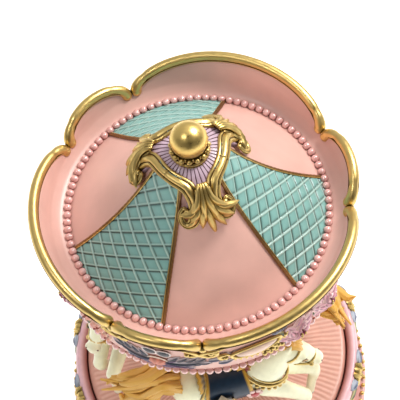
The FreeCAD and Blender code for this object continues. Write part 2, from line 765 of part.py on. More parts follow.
def canopy_pieces():
    turned("ceiling", ring_points("rod_radius", "ceiling_radius", "ceiling_low",
                                  "ceiling_low + ceiling_thick"))
    roof = turned("roof_shell", roof_points())
    wall = doc.addObject("PartDesign::Body", "crest_blank")
    sketch = new_sketch(wall, "XZ_Plane", "crest_profile")
    draw_outline(sketch, crest_points())
    spin = wall.newObject("PartDesign::Revolution", "crest_turned")
    spin.Profile = sketch
    spin.ReferenceAxis = (sketch, ["V_Axis"])
    spin.Angle = 360
    wall.Tip = spin
    doc.recompute()
    rim = rim_shape()
    crest = wall.Shape
    for block in above_arches():
        crest = crest.cut(block)
    free_shape("crest_wall", crest.cut(rim))
    free_shape("crest_rim", rim)
    bead_ring("roof_beads", int(value_of("roof_bead_count")), value_of("roof_ring_radius"),
              value_of("roof_ring_height"))
    bead_ring("frieze_beads", int(value_of("frieze_bead_count")), value_of("frieze_ring_radius"),
              value_of("frieze_ring_height"))
    return roof


def finial_pieces(roof):
    top = "roof_top_height"
    blank = doc.addObject("PartDesign::Body", "cap_blank")
    sketch = new_sketch(blank, "XZ_Plane", "cap_profile")
    draw_outline(sketch, [
        ("stud_radius", top), ("roof_top_radius - 0.1", top),
        ("cap_radius", top + " - 8.4"), ("cap_radius + 1.4", top + " - 7"),
        ("collar_radius + 0.5", "cap_top - 0.6", "roof_top_radius + 0.8", top + " + 1"),
        ("collar_radius", "cap_top"), ("stud_radius", "cap_top")])
    spin = blank.newObject("PartDesign::Revolution", "cap_turned")
    spin.Profile = sketch
    spin.ReferenceAxis = (sketch, ["V_Axis"])
    spin.Angle = 360
    blank.Tip = spin
    cap = keep(doc.addObject("Part::Cut", "finial_cap"), "finial_cap")
    cap.Base = blank
    cap.Tool = roof
    turned("finial_collar", [
        ("collar_radius - 2", "cap_top"), ("collar_radius", "cap_top"),
        ("collar_radius", "cap_top + collar_height",
         "collar_radius + 0.7", "cap_top + collar_height / 2"),
        ("collar_radius - 2", "cap_top + collar_height")])
    stud = keep(doc.addObject("Part::Cylinder", "finial_stud"), "finial_stud")
    bind(stud, "Radius", "stud_radius")
    bind(stud, "Height", "ball_height - roof_top_height")
    bind(stud, "Placement.Base.z", top)
    ball = doc.addObject("Part::Sphere", "ball_blank")
    bind(ball, "Radius", "ball_radius")
    bind(ball, "Placement.Base.z", "ball_height")
    drilled = keep(doc.addObject("Part::Cut", "finial_ball"), "finial_ball")
    drilled.Base = ball
    drilled.Tool = stud


# ------------------------------------------------------------------ horses

def limb(lengthwise, stations):
    """A tapered limb with flat sides through (x, y, z, radius) stations. Its sections
    stand square to X if it runs lengthwise, and lie level if not."""
    wires = []
    sides = 10
    for x, y, z, radius in stations:
        corners = []
        for number in range(sides + 1):
            angle = math.tau * number / sides
            across = radius * math.cos(angle)
            along = radius * math.sin(angle)
            offset = (0, across, along) if lengthwise else (across, along, 0)
            corners.append(FreeCAD.Vector(x, y, z) + FreeCAD.Vector(*offset))
        wires.append(Part.makePolygon(corners))
    return Part.makeLoft(wires, True, True)


# Stations (x, y, z, radius) of a galloping horse, +X forward, its pole on the Z axis and
# the turntable's top at zero.
TRUNK = [(-20.5, 0, 48, 4.5), (-16, 0, 47.6, 7.6), (-11, 0, 47.2, 8.7), (0, 0, 46.5, 8.3),
         (10, 0, 47, 8.6), (15, 0, 48, 7.2), (19, 0, 49, 4.4)]
NECK = [(12.5, 0, 49, 6.6), (15, -0.6, 55, 5.8), (19, -0.8, 62, 4.2), (21, -0.9, 66, 2.4)]
HEAD = [(18, -0.6, 62.6, 2.6), (23, -1.2, 61.4, 4.4), (29.6, -2.4, 56.2, 3.2), (33.6, -3, 53, 2.4)]
TAIL = [(-43, 6, 57, 1.4), (-35, 3.5, 54.2, 3.2), (-27, 1.5, 56, 3.3), (-17, 0, 51.3, 3.0)]
FORELEGS = [
    [(24.6, -6, 9.4, 2.1), (28.4, -5.9, 16.5, 1.9), (31, -5.8, 25, 2.8), (22, -5.4, 35.4, 3.6),
     (12, -4.4, 45, 4.6)],
    [(31, 1.2, 10.6, 2.1), (31.8, 1.6, 20.4, 1.9), (31.6, 2, 30, 2.8), (22.6, 2.8, 37.2, 3.8),
     (12.5, 3.4, 45, 4.6)]]
HINDLEG = [(-25, 5.2, 11, 2.2), (-23, 5, 24, 1.8), (-15, 4.8, 31, 2.7), (-13, 4, 45, 4.6)]


def mirrored(stations):
    return [(x, -y, z, radius) for x, y, z, radius in stations]


def horse_shape(pole):
    parts = [limb(False, NECK), limb(True, HEAD), limb(True, TAIL)]
    for leg in FORELEGS + [HINDLEG, mirrored(HINDLEG)]:
        parts.append(limb(False, leg))
    return limb(True, TRUNK).fuse(parts).cut(pole)


def saddle_shape(horse, pole):
    """A shell over the horse's back, as thick as the saddle and its cloth."""
    thick = value_of("saddle_thick")
    half = value_of("saddle_length / 2")
    skirt = 45
    outer = limb(True, [(-half, 0, 46.9, 8.7 + thick), (0, 0, 46.5, 8.4 + thick),
                        (half, 0, 46.9, 8.7 + thick)])
    reach = Part.makeBox(2 * half, 30, 14, FreeCAD.Vector(-half, -15, skirt))
    return outer.common(reach).cut(horse).cut(pole)


def horse_pieces():
    pole = Part.makeCylinder(value_of("pole_radius"), 90)
    horse = horse_shape(pole)
    saddle = saddle_shape(horse, pole)
    places = []
    for number in range(HORSES):
        turn = 360 * number / HORSES
        across = f"horse_ring_radius * cos(first_horse_angle + {turn})"
        along = f"horse_ring_radius * sin(first_horse_angle + {turn})"
        angle = value_of("first_horse_angle") + turn
        spot = polar(value_of("horse_ring_radius"), angle, value_of("table_top"))
        place = FreeCAD.Placement(spot, FreeCAD.Rotation(UP, angle + 90))
        free_shape(f"horse_{number + 1}", horse, place)
        free_shape(f"saddle_{number + 1}", saddle, place)
        rod = keep(doc.addObject("Part::Cylinder", f"pole_{number + 1}"), f"pole_{number + 1}")
        bind(rod, "Radius", "pole_radius")
        bind(rod, "Height", "ceiling_low - table_top")
        bind(rod, "Placement.Base.x", across)
        bind(rod, "Placement.Base.y", along)
        bind(rod, "Placement.Base.z", "table_top")
        places.append((across, along))
    flange_set("pole_flanges", places)


def flange_set(label, places):
    """Small collars round each pole, on the turntable and under the ceiling."""
    body = new_body(label)
    body.AllowCompound = True
    for name, low in (("low", "table_top"), ("high", "ceiling_low - 2")):
        sketch = new_sketch(body, "XY_Plane", f"{label}_{name}_circles", low)
        for across, along in places:
            draw_circle(sketch, across, along, "pole_radius * 2")
            draw_circle(sketch, across, along, "pole_radius")
        pad(body, sketch, f"{label}_{name}", "2")


# ------------------------------------------------------------------- output

def check_document():
    doc.recompute()
    for item in doc.Objects:
        if "Invalid" in item.State or "Error" in item.State:
            raise RuntimeError(f"{item.Label} failed: {item.State}")
    for item in nodes:
        if item.Shape.isNull() or not item.Shape.isValid():
            raise RuntimeError(f"{item.Label} has a bad shape")


def write_parts():
    os.makedirs("parts", exist_ok=True)
    for item in nodes:
        item.Shape.exportStep(f"parts/{item.Label}.step")


base_pieces()
movement_frame()
comb_pieces()
barrel_pieces()
drum_pieces()
fly_pieces()
key_pieces()
turntable_pieces()
roof_body = canopy_pieces()
finial_pieces(roof_body)
horse_pieces()
check_document()
write_parts()
print(len(nodes), "parts written")
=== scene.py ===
import json
import math

import bmesh
import bpy
import numpy as np
from mathutils import Matrix, Vector


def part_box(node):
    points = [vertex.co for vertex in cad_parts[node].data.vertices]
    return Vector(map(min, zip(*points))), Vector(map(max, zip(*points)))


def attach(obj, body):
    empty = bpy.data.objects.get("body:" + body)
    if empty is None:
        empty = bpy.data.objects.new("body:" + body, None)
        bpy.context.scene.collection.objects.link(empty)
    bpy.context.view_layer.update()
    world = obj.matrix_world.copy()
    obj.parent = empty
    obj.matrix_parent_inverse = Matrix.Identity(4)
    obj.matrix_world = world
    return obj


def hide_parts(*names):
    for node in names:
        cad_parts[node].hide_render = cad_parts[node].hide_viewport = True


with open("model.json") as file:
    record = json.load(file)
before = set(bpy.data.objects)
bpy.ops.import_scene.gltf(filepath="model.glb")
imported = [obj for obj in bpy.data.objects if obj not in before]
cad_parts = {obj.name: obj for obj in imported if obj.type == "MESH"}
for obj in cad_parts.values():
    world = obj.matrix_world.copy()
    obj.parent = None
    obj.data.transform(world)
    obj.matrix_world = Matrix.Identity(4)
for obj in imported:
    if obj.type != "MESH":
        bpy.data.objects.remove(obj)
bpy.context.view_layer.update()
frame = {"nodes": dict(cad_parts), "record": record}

# The scene is modelled in millimetres in the frame's axes and written in metres.
MM = 0.001
THIRDS = (0, 120, 240)


def node_box(node):
    """Lowest and highest corner of a CAD node, in millimetres."""
    low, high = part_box(node)
    return np.array(low) / MM, np.array(high) / MM


# ------------------------------------------------------------ frame measures

TABLE_Z = node_box("turntable")[1][2]
CEILING_Z = node_box("ceiling")[0][2]
BEAD_LOW, BEAD_HIGH = node_box("roof_beads")
RING_Z = (BEAD_LOW[2] + BEAD_HIGH[2]) / 2
BEAD_R = (BEAD_HIGH[2] - BEAD_LOW[2]) / 2
RING_R = BEAD_HIGH[0] - BEAD_R
FRIEZE_LOW, FRIEZE_HIGH = node_box("frieze_beads")
FRIEZE_Z = (FRIEZE_LOW[2] + FRIEZE_HIGH[2]) / 2
FRIEZE_R = FRIEZE_HIGH[0] - BEAD_R
BALL_LOW, BALL_HIGH = node_box("finial_ball")
BALL_Z = (BALL_LOW[2] + BALL_HIGH[2]) / 2
BALL_R = (BALL_HIGH[2] - BALL_LOW[2]) / 2


# ---------------------------------------------------------------- materials

BLACK, WHITE = (0, 0, 0), (1, 1, 1)
# Colour and strength of the darker wash and painted shade laid into hollows.
WASH_AND_SHADE = np.array([0.62, 0.42, 0.34])
WASH_AND_SHADE_STRENGTH = 0.6
HOLLOW_REACH = 0.0011


def new_material(name):
    material = bpy.data.materials.new(name)
    material.use_nodes = True
    return material, material.node_tree, material.node_tree.nodes["Principled BSDF"]


def wire(tree, node, inputs):
    """Give a node's inputs what they take: another node's output, a number or a colour."""
    for name, value in inputs.items():
        if hasattr(value, "is_linked"):
            tree.links.new(value, node.inputs[name])
        elif isinstance(value, (int, float)):
            node.inputs[name].default_value = value
        else:
            node.inputs[name].default_value = (*value, 1)


def noise(tree, scale, detail):
    """Noise in object space; scale is in cycles per metre."""
    where = tree.nodes.new("ShaderNodeTexCoord")
    node = tree.nodes.new("ShaderNodeTexNoise")
    wire(tree, node, {"Scale": scale, "Detail": detail, "Roughness": 0.55,
                      "Vector": where.outputs["Object"]})
    return node.outputs["Fac"]


def ramp(tree, source, stops):
    """Colours laid over a value from 0 to 1."""
    node = tree.nodes.new("ShaderNodeValToRGB")
    elements = node.color_ramp.elements
    while len(elements) < len(stops):
        elements.new(0.5)
    for element, (place, colour) in zip(elements, stops):
        element.position = place
        element.color = (*colour, 1)
    wire(tree, node, {"Fac": source})
    return node.outputs["Color"]


def clouds(tree, scale, detail, low, high, edge=0.3):
    """Soft patches between two colours."""
    return ramp(tree, noise(tree, scale, detail), [(edge, low), (1 - edge, high)])


def mix(tree, factor, first, second, mode="MIX"):
    node = tree.nodes.new("ShaderNodeMix")
    node.data_type = "RGBA"
    node.blend_type = mode
    wire(tree, node, {0: factor, 6: first, 7: second})
    return node.outputs[2]


def math_node(tree, operation, *inputs):
    node = tree.nodes.new("ShaderNodeMath")
    node.operation = operation
    wire(tree, node, dict(enumerate(inputs)))
    return node.outputs[0]


def roughen(tree, shader, scale, detail, strength, distance):
    """A fine grain; distance is in metres."""
    source = noise(tree, scale, detail)
    node = tree.nodes.new("ShaderNodeBump")
    wire(tree, node, {"Strength": strength, "Distance": distance, "Height": source})
    wire(tree, shader, {"Normal": node.outputs["Normal"]})


def crevice(tree, spread=0.06):
    """Mask for painted shade: white on open surfaces and black in hollows, from the mesh's curvature
    and how much of the sky within a short reach is shut off by what stands beside the surface."""
    geometry = tree.nodes.new("ShaderNodeNewGeometry")
    curve = ramp(tree, geometry.outputs["Pointiness"], [(0.5 - spread, BLACK), (0.5, WHITE)])
    shut = tree.nodes.new("ShaderNodeAmbientOcclusion")
    shut.samples = 6
    wire(tree, shut, {"Distance": HOLLOW_REACH})
    clear = ramp(tree, shut.outputs["AO"], [(0.30, BLACK), (0.80, WHITE)])
    return mix(tree, 1.0, curve, clear, "MULTIPLY")


def toned(colour, factor):
    """A colour made darker or lighter, no lighter than white."""
    return tuple(np.minimum(np.array(colour) * factor, 1))


def painted(name, colour, roughness=0.38, wash_and_shade=0.55, grain=0.03):
    """Painted cast resin: slight cloudiness, a darker wash and painted shade in the hollows, fine grain."""
    material, tree, shader = new_material(name)
    varied = clouds(tree, 90.0, 3.0, toned(colour, 0.94), toned(colour, 1.05))
    # The varied colour darkened by the wash and painted shade; the hollows take it.
    deep = mix(tree, 1.0, varied, tuple(WASH_AND_SHADE * wash_and_shade + 1 - wash_and_shade), "MULTIPLY")
    clear = math_node(tree, "MULTIPLY_ADD", crevice(tree), WASH_AND_SHADE_STRENGTH, 1 - WASH_AND_SHADE_STRENGTH)
    wire(tree, shader, {"Base Color": mix(tree, clear, deep, varied), "Roughness": roughness,
                        "Specular IOR Level": 0.45, "Coat Weight": 0.12, "Coat Roughness": 0.3})
    roughen(tree, shader, 1800.0, 6.0, grain, 0.0004)
    return material


def vertex_painted(name, roughness=0.4, grain=0.05, gloss=0.1, wash_and_shade=(0.55, 0.38, 0.30)):
    """Painted relief whose colours are laid on the mesh in its Paint attribute, with a darker wash and
    painted shade in its hollows.
    """
    material, tree, shader = new_material(name)
    paint = tree.nodes.new("ShaderNodeVertexColor")
    paint.layer_name = "Paint"
    cloud = clouds(tree, 400.0, 3.0, (0.9, 0.9, 0.9), WHITE)
    colour = mix(tree, 1.0, paint.outputs["Color"], cloud, "MULTIPLY")
    # The paint darkened by the wash and painted shade; the hollows take it.
    deep = mix(tree, 1.0, colour, wash_and_shade, "MULTIPLY")
    wire(tree, shader, {"Base Color": mix(tree, crevice(tree, 0.08), deep, colour), "Roughness": roughness,
                        "Coat Weight": gloss})
    roughen(tree, shader, 2500.0, 5.0, grain, 0.0003)
    return material


def uneven(tree, scale, roughness, low):
    """A roughness that varies in patches."""
    return clouds(tree, scale, 3.0, (roughness * low,) * 3, (roughness * 1.3,) * 3)


def gilded(name, light, dark, roughness=0.26, grain=0.04, deep=0.7):
    """Gold lacquer over resin: bright on the ridges, with painted shade, dark brown, in the hollows."""
    material, tree, shader = new_material(name)
    body = clouds(tree, 260.0, 4.0, toned(light, 0.86), light, 0.25)
    # The dark colour is painted shade, taken by the hollows as far as deep allows.
    clear = math_node(tree, "MULTIPLY_ADD", crevice(tree, 0.12), deep, 1 - deep)
    wire(tree, shader, {"Base Color": mix(tree, clear, dark, body), "Metallic": 1.0,
                        "Roughness": uneven(tree, 700.0, roughness, 0.8)})
    roughen(tree, shader, 350.0, 2.0, grain, 0.0003)
    return material


def pearl_material():
    """Pearl lacquer: a strong clear coat over pink, with painted shade between the beads."""
    material, tree, shader = new_material("pearl_lacquer")
    cloud = noise(tree, 300.0, 2.0)
    deep = ramp(tree, cloud, [(0.3, (0.36, 0.13, 0.12)), (0.7, (0.44, 0.17, 0.155))])
    pale = ramp(tree, cloud, [(0.3, (0.66, 0.335, 0.31)), (0.7, (0.76, 0.42, 0.39))])
    wire(tree, shader, {"Base Color": mix(tree, crevice(tree, 0.10), deep, pale), "Roughness": 0.24,
                        "Coat Weight": 1.0, "Coat IOR": 1.9, "Coat Roughness": 0.10,
                        "Specular IOR Level": 0.8})
    roughen(tree, shader, 900.0, 2.0, 0.05, 0.0002)
    return material


def metal(name, colour, roughness, grain_scale=1500.0, grain=0.15):
    material, tree, shader = new_material(name)
    shades = clouds(tree, 120.0, 4.0, toned(colour, 0.82), colour)
    wire(tree, shader, {"Base Color": shades, "Metallic": 1.0,
                        "Roughness": uneven(tree, 600.0, roughness, 0.75)})
    roughen(tree, shader, grain_scale, 5.0, grain, 0.0002)
    return material


def matte(name, colour, roughness, grain_scale, grain, sheen=0.0):
    material, tree, shader = new_material(name)
    shades = clouds(tree, grain_scale * 0.2, 4.0, toned(colour, 0.78), colour)
    wire(tree, shader, {"Base Color": shades, "Roughness": roughness, "Sheen Weight": sheen})
    roughen(tree, shader, grain_scale, 6.0, grain, 0.0006)
    return material


PINK = (0.68, 0.40, 0.345)
PINK_LIGHT = (0.76, 0.49, 0.435)
# Each material's wash sets how dark its wash and painted shade in the hollows are.
M = {
    "roof": painted("roof_pink", PINK, 0.36),
    "crest": painted("crest_pink", PINK, 0.36),
    "base": painted("base_pink", PINK_LIGHT, 0.4),
    "table": painted("turntable_pink", (0.72, 0.38, 0.36), 0.42, wash_and_shade=0.9),
    "column": painted("column_pink", PINK_LIGHT, 0.4),
    "ceiling": painted("ceiling_pink", PINK_LIGHT, 0.45),
    "lilac": painted("cap_lilac", (0.50, 0.36, 0.46), 0.4, wash_and_shade=0.8),
    "horse": painted("horse_cream", (0.80, 0.78, 0.60), 0.36, wash_and_shade=0.5),
    "relief": vertex_painted("relief_paint"),
    "coat": vertex_painted("horse_coat", 0.33, 0.02, 0.3, (0.72, 0.60, 0.42)),
    "gold": gilded("gilt_moulding", (0.76, 0.55, 0.20), (0.07, 0.04, 0.012), 0.37, 0.02, 0.9),
    "old_gold": gilded("gilt_trim", (0.36, 0.21, 0.09), (0.07, 0.035, 0.02), 0.46),
    # Near-black gilt for the thin cords laid in the mouldings' creases as painted shade.
    "crease_shade": gilded("dark_crease_gilt", (0.15, 0.085, 0.03), (0.05, 0.03, 0.01), 0.5),
    "ball": gilded("gilt_ball", (0.84, 0.60, 0.20), (0.5, 0.3, 0.1), 0.33, 0.02),
    "mane": painted("mane_gold", (0.74, 0.42, 0.09), 0.36, wash_and_shade=0.95, grain=0.08),
    "pearl": pearl_material(),
    "steel": metal("zinc_plated_steel", (0.60, 0.60, 0.62), 0.35),
    "cast_zinc": metal("cast_zinc", (0.52, 0.52, 0.54), 0.5, 900.0, 0.35),
    "brass": metal("brass_parts", (0.78, 0.58, 0.26), 0.3),
    "blued": metal("blued_spring", (0.20, 0.24, 0.34), 0.3),
    "nickel": metal("nickel_key", (0.74, 0.72, 0.70), 0.18),
    "plastic": matte("rose_plastic", (0.30, 0.13, 0.12), 0.5, 800.0, 0.2),
    "white_plastic": matte("white_plastic", (0.70, 0.70, 0.67), 0.45, 800.0, 0.15),
    "felt": matte("wine_felt", (0.20, 0.04, 0.07), 0.95, 1600.0, 0.9, sheen=0.6),
    "navy": painted("saddle_navy", (0.03, 0.07, 0.13), 0.35, wash_and_shade=0.2),
    "rubber": matte("black_rubber", (0.03, 0.03, 0.03), 0.7, 900.0, 0.3),
}


# --------------------------------------------------------------- mesh makers

UP = (0, 0, 1.0)


def new_object(name, data):
    """An object in the scene's own collection."""
    made = bpy.data.objects.new(name, data)
    bpy.context.scene.collection.objects.link(made)
    return made


class Shape:
    """Vertices in millimetres, faces and a colour for each vertex."""

    def __init__(self):
        self.points = []
        self.faces = []
        self.colours = []
        self.count = 0

    def add(self, points, faces, colour=WHITE):
        points = np.asarray(points, dtype=float).reshape(-1, 3)
        colours = np.asarray(colour, dtype=float)
        if colours.ndim == 1:
            colours = np.tile(colours, (len(points), 1))
        self.points.append(points)
        self.colours.append(colours.reshape(-1, 3))
        start = self.count
        self.faces.extend([tuple(index + start for index in face) for face in faces])
        self.count += len(points)

    def add_grid(self, points, colour=WHITE, close_rows=False, close_columns=False):
        """Add a surface given as rows of points; rows and columns may close on themselves."""
        points = np.array(points)
        rows, columns = points.shape[:2]
        self.add(points, grid_faces(rows, columns, close_rows, close_columns), colour)

    def add_shape(self, other, move):
        self.add(move(np.concatenate(other.points)), other.faces, np.concatenate(other.colours))

    def build(self, name, material, body, slot, replaces=()):
        """Make the piece, ride it on its body and take the place of a CAD node."""
        mesh = bpy.data.meshes.new(name)
        points = np.concatenate(self.points) * MM
        mesh.from_pydata(points.tolist(), [], self.faces)
        mesh.validate()
        paint = mesh.color_attributes.new("Paint", "FLOAT_COLOR", "POINT")
        colours = np.concatenate(self.colours)
        flat = np.concatenate([colours, np.ones((len(colours), 1))], axis=1).ravel()
        paint.data.foreach_set("color", flat.astype(np.float32))
        mesh.polygons.foreach_set("use_smooth", [True] * len(mesh.polygons))
        mesh.materials.append(material)
        fix_normals(mesh)
        piece = new_object(name, mesh)
        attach(piece, body)
        if replaces:
            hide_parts(*replaces)


def fix_normals(mesh):
    work = bmesh.new()
    work.from_mesh(mesh)
    bmesh.ops.recalc_face_normals(work, faces=work.faces)
    work.to_mesh(mesh)
    work.free()


def grid_faces(rows, columns, close_rows=False, close_columns=False):
    """Quads of a grid of points stored row by row."""
    faces = []
    for row in range(rows if close_rows else rows - 1):
        following = (row + 1) % rows
        for column in range(columns if close_columns else columns - 1):
            beside = (column + 1) % columns
            faces.append((row * columns + column, row * columns + beside,
                          following * columns + beside, following * columns + column))
    return faces


def end_faces(rows, sides):
    """The two flat ends of a tube of points stored row by row."""
    return [tuple(range(sides)), tuple((rows - 1) * sides + side for side in reversed(range(sides)))]


def polar(radius, degrees, height):
    angle = np.radians(degrees)
    return np.stack(np.broadcast_arrays(radius * np.cos(angle), radius * np.sin(angle), height), axis=-1)


def full_turn(steps):
    """Angles once round, in degrees."""
    return np.arange(steps) * 360 / steps


def around(steps):
    """Angles once round, in radians."""
    return np.arange(steps) * math.tau / steps


def bell(distance, width):
    """A smooth hump, 1 at distance 0."""
    return np.exp(-(distance / width) ** 2)


def unit(vectors):
    return vectors / np.maximum(np.linalg.norm(vectors, axis=-1, keepdims=True), 1e-9)


def untwisted(along):
    """Out directions that follow a path without twisting round it."""
    out = np.zeros_like(along)
    guess = np.array([1.0, 0.0, 0.0]) if abs(along[0][2]) > 0.9 else np.array([0.0, 0.0, 1.0])
    for index, step in enumerate(along):
        guess = guess - step * np.dot(guess, step)
        guess = guess / np.linalg.norm(guess)
        out[index] = guess
    return out


def sweep(path, section, sizes=None, up=None, closed=False):
    """Carry a closed section (across, out) along a path. up gives each point's out
    direction, or one for all; sizes scales the section at each point."""
    path = np.asarray(path, dtype=float)
    if closed:
        along = unit(np.roll(path, -1, axis=0) - np.roll(path, 1, axis=0))
    else:
        along = unit(np.gradient(path, axis=0))
    if up is None:
        up = untwisted(along)
    else:
        up = np.asarray(up, dtype=float)
        up = unit(up - along * np.sum(up * along, axis=1, keepdims=True))
    across = np.cross(along, up)
    count, sides = len(path), len(section)
    sizes = np.ones(count) if sizes is None else np.asarray(sizes, dtype=float)
    scaled = np.asarray(section, dtype=float)[None] * sizes[:, None, None]
    points = path[:, None] + across[:, None] * scaled[..., 0:1] + up[:, None] * scaled[..., 1:2]
    faces = grid_faces(count, sides, closed, True)
    if not closed:
        faces += end_faces(count, sides)
    return points.reshape(-1, 3), faces


def round_section(radius, sides=10, flat=1.0):
    angles = around(sides)
    return np.stack([radius * np.cos(angles), radius * flat * np.sin(angles)], axis=1)


def ring(shape, radius, height, section, steps, sizes=None):
    """A section carried round the object's axis."""
    shape.add(*sweep(polar(radius, full_turn(steps), height), section, sizes, UP, closed=True))


def ball(centre, radius, rings=8, sides=12, stretch=WHITE):
    """A ball, or an egg when stretched, with pole points."""
    points = [[0, 0, 1]]
    for row in range(1, rings):
        down = math.pi * row / rings
        for turn in around(sides):
            points.append([math.sin(down) * math.cos(turn), math.sin(down) * math.sin(turn),
                           math.cos(down)])
    points.append([0, 0, -1])
    points = np.array(points) * radius * np.array(stretch) + np.asarray(centre, dtype=float)
    faces = [(0, 1 + side, 1 + (side + 1) % sides) for side in range(sides)]
    for row in range(rings - 2):
        low = 1 + row * sides
        for side in range(sides):
            beside = (side + 1) % sides
            faces.append((low + side, low + sides + side, low + sides + beside, low + beside))
    last = 1 + (rings - 1) * sides
    low = last - sides
    faces += [(last, low + (side + 1) % sides, low + side) for side in range(sides)]
    return points, faces


def revolve(profile, steps=180, wobble=None):
    """Closed surface of revolution from (radius, height) points. wobble(degrees, radius,
    height) may change each row with the angle."""
    profile = np.asarray(profile, dtype=float)
    degrees = full_turn(steps)[None, :]
    radius = np.tile(profile[:, 0:1], (1, steps))
    height = np.tile(profile[:, 1:2], (1, steps))
    if wobble is not None:
        radius, height = wobble(degrees, radius, height)
    return polar(radius, degrees, height).reshape(-1, 3), grid_faces(len(profile), steps, True, True)


def curve_points(control, count):
    """A smooth curve through control points, in as many dimensions as they have."""
    control = np.asarray(control, dtype=float)
    spans = len(control) - 1
    ends = np.vstack([2 * control[0] - control[1], control, 2 * control[-1] - control[-2]])
    out = []
    for place in np.linspace(0, spans, count):
        index = min(int(place), spans - 1)
        part = place - index
        before, start, end, after = ends[index:index + 4]
        out.append(0.5 * (2 * start + (end - before) * part
                          + (2 * before - 5 * start + 4 * end - after) * part ** 2
                          + (3 * start - before - 3 * end + after) * part ** 3))
    return np.array(out)


# ------------------------------------------------------------------ the roof

ROOF_CENTRE_R, ROOF_CENTRE_Z, ROOF_ARC = 106.253, 244.163, 107.244
ROOF_R, ROOF_TOP_R, ROOF_THICK = 42.6, 12.5, 1.5
EAVE_R, EAVE_Z = 44.6, (155.8, 156.4, 157.2)
PINK_CENTRES = (40, 160, 280)
TEAL_CENTRES = (100, 220, 340)
TEAL_HALF = 28.6
# The lattice's two sets of lines: their spacing, and the slope they share in mirror image.
LATTICE_PITCH = (4.5, 3.9)
LATTICE_SLOPE = (0.53, 0.85)
LATTICE_TEAL, LATTICE_PALE = np.array([0.22, 0.44, 0.41]), np.array([0.62, 0.82, 0.74])


def roof_z(radius):
    """Height of the roof's outer surface."""
    return ROOF_CENTRE_Z - np.sqrt(ROOF_ARC ** 2 - (radius - ROOF_CENTRE_R) ** 2)


def on_roof(degrees, radius, lift=0.0):
    """A point on the roof, raised along its normal."""
    radius = np.asarray(radius, dtype=float)
    height = roof_z(radius)
    out_r = (radius - ROOF_CENTRE_R) / -ROOF_ARC
    out_z = (height - ROOF_CENTRE_Z) / -ROOF_ARC
    return polar(radius + out_r * lift, degrees, height + out_z * lift)


def roof_skin():
    """The tent roof as a thin closed shell with an upright eave."""
    degrees = full_turn(240)
    radii = np.concatenate([[ROOF_R + 1], np.linspace(ROOF_R, ROOF_TOP_R, 44)])
    points = [polar(EAVE_R, degrees, height) for height in EAVE_Z[1:]]
    points += [on_roof(degrees, radius) for radius in radii]
    points += [on_roof(degrees, radius, -ROOF_THICK) for radius in radii[::-4]]
    points += [polar(radius, degrees, EAVE_Z[0]) for radius in (ROOF_R, EAVE_R)]
    shape = Shape()
    shape.add_grid(points, close_rows=True, close_columns=True)
    shape.build("roof_skin", M["roof"], "carousel", replaces=("roof_shell",), slot="roof_resin")


def panel_half(radius):
    """Half the width of a lattice panel in degrees; its sides bow slightly."""
    return TEAL_HALF - 0.8 * np.sin((radius - 10.0) / 32.0 * math.pi)


def lattice_panels():
    """A thin teal sheet on the roof, quilted in diamonds, with painted shade in its grooves and round the
    edge of each diamond.
    """
    radii = np.linspace(42.9, 9.6, 170)[:, None]
    turn = np.linspace(-1, 1, 240)[None, :] * panel_half(radii)
    slant, spread = radii * 1.30 + 2.0, np.radians(turn) * 0.76
    across, along = slant * np.sin(spread) * LATTICE_SLOPE[0], slant * np.cos(spread) * LATTICE_SLOPE[1]
    first, second = (across - along) / LATTICE_PITCH[0], (across + along) / LATTICE_PITCH[1]
    from_first, from_second = first - np.round(first), second - np.round(second)
    ridge = np.maximum(bell(from_first, 0.062), 0.62 * bell(from_second, 0.062))
    groove = np.maximum(0.55 * bell(from_first - 0.14, 0.07), bell(from_second - 0.14, 0.08)) * (1 - ridge)
    pillow = np.sin(math.pi * (first % 1)) * np.sin(math.pi * (second % 1))
    lift = 0.32 + 0.30 * ridge - 0.30 * groove + 0.16 * pillow
    # Painted shade: darker in the grooves and toward the edges of each diamond; paler on the ridges.
    shade = ((1 - 0.66 * groove) * (0.86 + 0.14 * pillow))[..., None]
    colour = LATTICE_TEAL * shade + (LATTICE_PALE - LATTICE_TEAL) * (0.72 * ridge)[..., None]
    shape = Shape()
    for middle in TEAL_CENTRES:
        shape.add_grid(on_roof(middle + turn, radii, lift), colour)
    shape.build("lattice_panels", M["relief"], "carousel", slot="roof_resin")


def panel_trims():
    """A dark gilt cord along each side of a lattice panel, with a bright thread inside it."""
    cords, threads = Shape(), Shape()
    radii = np.linspace(43.2, 9.8, 90)
    wave = 1 + 0.10 * np.sin(np.arange(90) * 1.9)
    for middle in TEAL_CENTRES:
        for side in (-1, 1):
            degrees = middle + side * panel_half(radii)
            path = on_roof(degrees, radii, 0.35)
            out = on_roof(degrees, radii, 1.35) - path
            cords.add(*sweep(path, round_section(0.55, 8, 0.9), wave, out))
            inner = middle + side * (panel_half(radii) - np.degrees(0.62 / radii))
            threads.add(*sweep(on_roof(inner, radii, 0.62), round_section(0.22, 6), wave, out))
    cords.build("panel_trims", M["old_gold"], "carousel", slot="roof_resin")
    threads.build("panel_threads", M["gold"], "carousel", slot="roof_resin")


# ----------------------------------------------------------- the crested rim

RIM_BASE_R, RIM_BASE_H = 50.4, 3.0
# The rim's large and small arches: middles, half width in degrees, rise, steps along one.
ARCHES = (((68.1, 188.1, 308.1), 42.7, 8.9, 160), ((8.1, 128.1, 248.1), 17.3, 6.4, 90))
# Cords, and dark lines of painted shade in the creases, beside the rim's main roll: outward and up from its
# centre, and radius.
RIM_CORDS = ((-1.45, -0.80, 0.38), (1.10, -1.05, 0.50), (0.90, -1.95, 0.40))
RIM_SHADING_LINES = ((-1.68, -0.42, 0.22), (1.62, -0.66, 0.22), (1.34, -1.60, 0.22))
ROLL_R, KNOB_R = 1.7, 2.0
